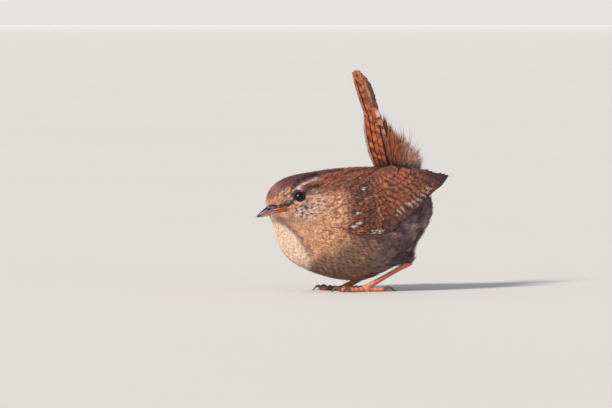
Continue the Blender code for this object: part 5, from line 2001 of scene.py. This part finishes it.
    def _joined(self, parts: list[tuple[list[Array], Array]], name: str, nodes: tuple[str, ...]) -> None:
        """Lofts several limbs into one mesh.

        Args:
            parts: Rings and colours of each limb.
            name: The piece's name.
            nodes: The CAD nodes that it stands for.
        """
        joined = bmesh.new()
        colours = []
        for number, (rings, tones) in enumerate(parts):
            flat = [np.stack((r[:, 0], r[:, 1], np.maximum(r[:, 2], 0.0)), axis=1) for r in rings]
            bm, places = loft(flat)
            layer = bm.loops.layers.uv[BAKE_MAP]
            for loop in (loop for face in bm.faces for loop in face.loops):
                u, v = loop[layer].uv
                loop[layer].uv = ((u + number) / len(parts), v)
            scrap = bpy.data.meshes.new("limb")
            bm.to_mesh(scrap)
            bm.free()
            joined.from_mesh(scrap)
            bpy.data.meshes.remove(scrap)
            colours += [tones[place] for place in places]
        mesh = finished_mesh(joined, name, np.array(colours))
        place_piece(mesh, LEG, nodes)


# The studio


@dataclass
class Studio:
    """Pale floor, soft lights and the camera at the photo's angle."""

    azimuth: float = -15.0
    elevation: float = 2.0
    distance: float = 2.0
    pixel: float = 0.355
    width: int = 612
    sensor: float = 36.0
    across: float = -16.4
    up: float = 30.9
    floor_radius: float = 30.0
    wall_height: float = 6.0
    wall_glow: float = 0.79
    wall_colour: tuple = (1.0, 0.98, 0.95, 1.0)
    floor_colour: tuple = (0.76, 0.75, 0.73)
    sky_colour: tuple = (0.84, 0.88, 1.0)
    sky_strength: float = 0.42
    sun_from: tuple = (-1.2, -0.8, 1.0)
    sun_colour: tuple = (1.0, 0.93, 0.83)
    sun_strength: float = 3.5
    sun_angle: float = 10.0

    def build(self) -> None:
        """Builds the whole studio, shown without a film curve."""
        bpy.context.scene.view_settings.view_transform = "Standard"
        self._view()
        self._floor()
        self._wall()
        self._world()
        self._sun()

    def _view(self) -> None:
        """The camera, level with the bird and a little ahead of its side."""
        az, el = math.radians(self.azimuth), math.radians(self.elevation)
        right = Vector((math.cos(az), math.sin(az), 0))
        forward = Vector((-math.sin(az) * math.cos(el), math.cos(az) * math.cos(el), -math.sin(el)))
        target = Vector(CENTRING * MM) + right * (self.across * MM) + Vector((0, 0, self.up * MM))
        data = bpy.data.cameras.new("camera")
        data.sensor_width = self.sensor
        data.lens = self.sensor * self.distance / (self.width * self.pixel * MM)
        data.clip_start, data.clip_end = 0.05, 90.0
        camera = bpy.data.objects.new("camera", data)
        camera.location = target - forward * self.distance
        camera.rotation_euler = forward.to_track_quat("-Z", "Y").to_euler()
        bpy.context.scene.collection.objects.link(camera)
        bpy.context.scene.camera = camera

    def _floor(self) -> None:
        """A wide pale floor with a faint unevenness in its paint."""
        bm = bmesh.new()
        bmesh.ops.create_circle(bm, cap_ends=True, segments=96, radius=self.floor_radius)
        floor, tree = self._standing("floor", bm, "floor_paint")
        shader = tree.nodes["Principled BSDF"]
        shader.inputs["Roughness"].default_value = 0.85
        place = add_node(tree, "ShaderNodeTexCoord")
        clouds = add_node(tree, "ShaderNodeTexNoise", {"Scale": 3.0})
        ramp = add_node(tree, "ShaderNodeMapRange", {"To Min": 0.985, "To Max": 1.015})
        tint = add_node(tree, "ShaderNodeVectorMath")
        tint.operation = "SCALE"
        tint.inputs[0].default_value = self.floor_colour
        tree.links.new(place.outputs["Object"], clouds.inputs["Vector"])
        tree.links.new(clouds.outputs["Fac"], ramp.inputs["Value"])
        tree.links.new(ramp.outputs["Result"], tint.inputs["Scale"])
        tree.links.new(tint.outputs["Vector"], shader.inputs["Base Color"])

    @staticmethod
    def _standing(name: str, bm: bmesh.types.BMesh,
                  surface: str) -> tuple[bpy.types.Object, bpy.types.NodeTree]:
        """Makes a bmesh an object of the studio.

        Args:
            name: The object's name.
            bm: Its shape. It is freed.
            surface: The name of its new material.

        Returns:
            The object, and its material's nodes.
        """
        mesh = bpy.data.meshes.new(name)
        bm.to_mesh(mesh)
        bm.free()
        thing = bpy.data.objects.new(name, mesh)
        bpy.context.scene.collection.objects.link(thing)
        material = bpy.data.materials.new(surface)
        material.use_nodes = True
        mesh.materials.append(material)
        return thing, material.node_tree

    def _world(self) -> None:
        """An even pale surround."""
        world = bpy.data.worlds.new("studio")
        world.use_nodes = True
        background = world.node_tree.nodes["Background"]
        background.inputs["Color"].default_value = (*self.sky_colour, 1.0)
        background.inputs["Strength"].default_value = self.sky_strength
        bpy.context.scene.world = world

    def _sun(self) -> None:
        """One broad warm light from ahead, above and the bird's left."""
        data = bpy.data.lights.new("key_light", "SUN")
        data.energy = self.sun_strength
        data.color = self.sun_colour
        data.angle = math.radians(self.sun_angle)
        light = bpy.data.objects.new("key_light", data)
        light.rotation_euler = (-Vector(self.sun_from)).to_track_quat("-Z", "Y").to_euler()
        bpy.context.scene.collection.objects.link(light)

    def _wall(self) -> None:
        """A far pale wall round the floor, as bright as the lit floor, which hides its edge."""
        bm = bmesh.new()
        bmesh.ops.create_cone(bm, cap_ends=False, segments=96, radius1=self.floor_radius,
                              radius2=self.floor_radius, depth=self.wall_height)
        bmesh.ops.reverse_faces(bm, faces=bm.faces)
        wall, tree = self._standing("wall", bm, "wall_glow")
        wall.location.z = self.wall_height / 2
        light = add_node(tree, "ShaderNodeEmission", {"Color": self.wall_colour, "Strength": self.wall_glow})
        tree.links.new(light.outputs["Emission"], tree.nodes["Material Output"].inputs["Surface"])


def main() -> None:
    """Builds the bird from the skin outwards, then the studio."""
    logging.basicConfig(level=logging.INFO, format="%(name)s: %(message)s")
    markings = Markings()
    trunk = Trunk()
    trunk.build(markings)
    form = WingForm(trunk)
    BodyCoat(trunk, form).build(markings)
    for word in SIDES:
        Wing(word, form).build(markings)
        Eye(word, trunk).build()
    tail = Tail()
    tail.build()
    TailCoverts(tail).build()
    Bill().build()
    Gape(trunk).build()
    Leg("left", 3.2, 19.64).build()
    Leg("right", 0.0, 18.36).build()
    Studio().build()


if __name__ == "__main__":
    main()
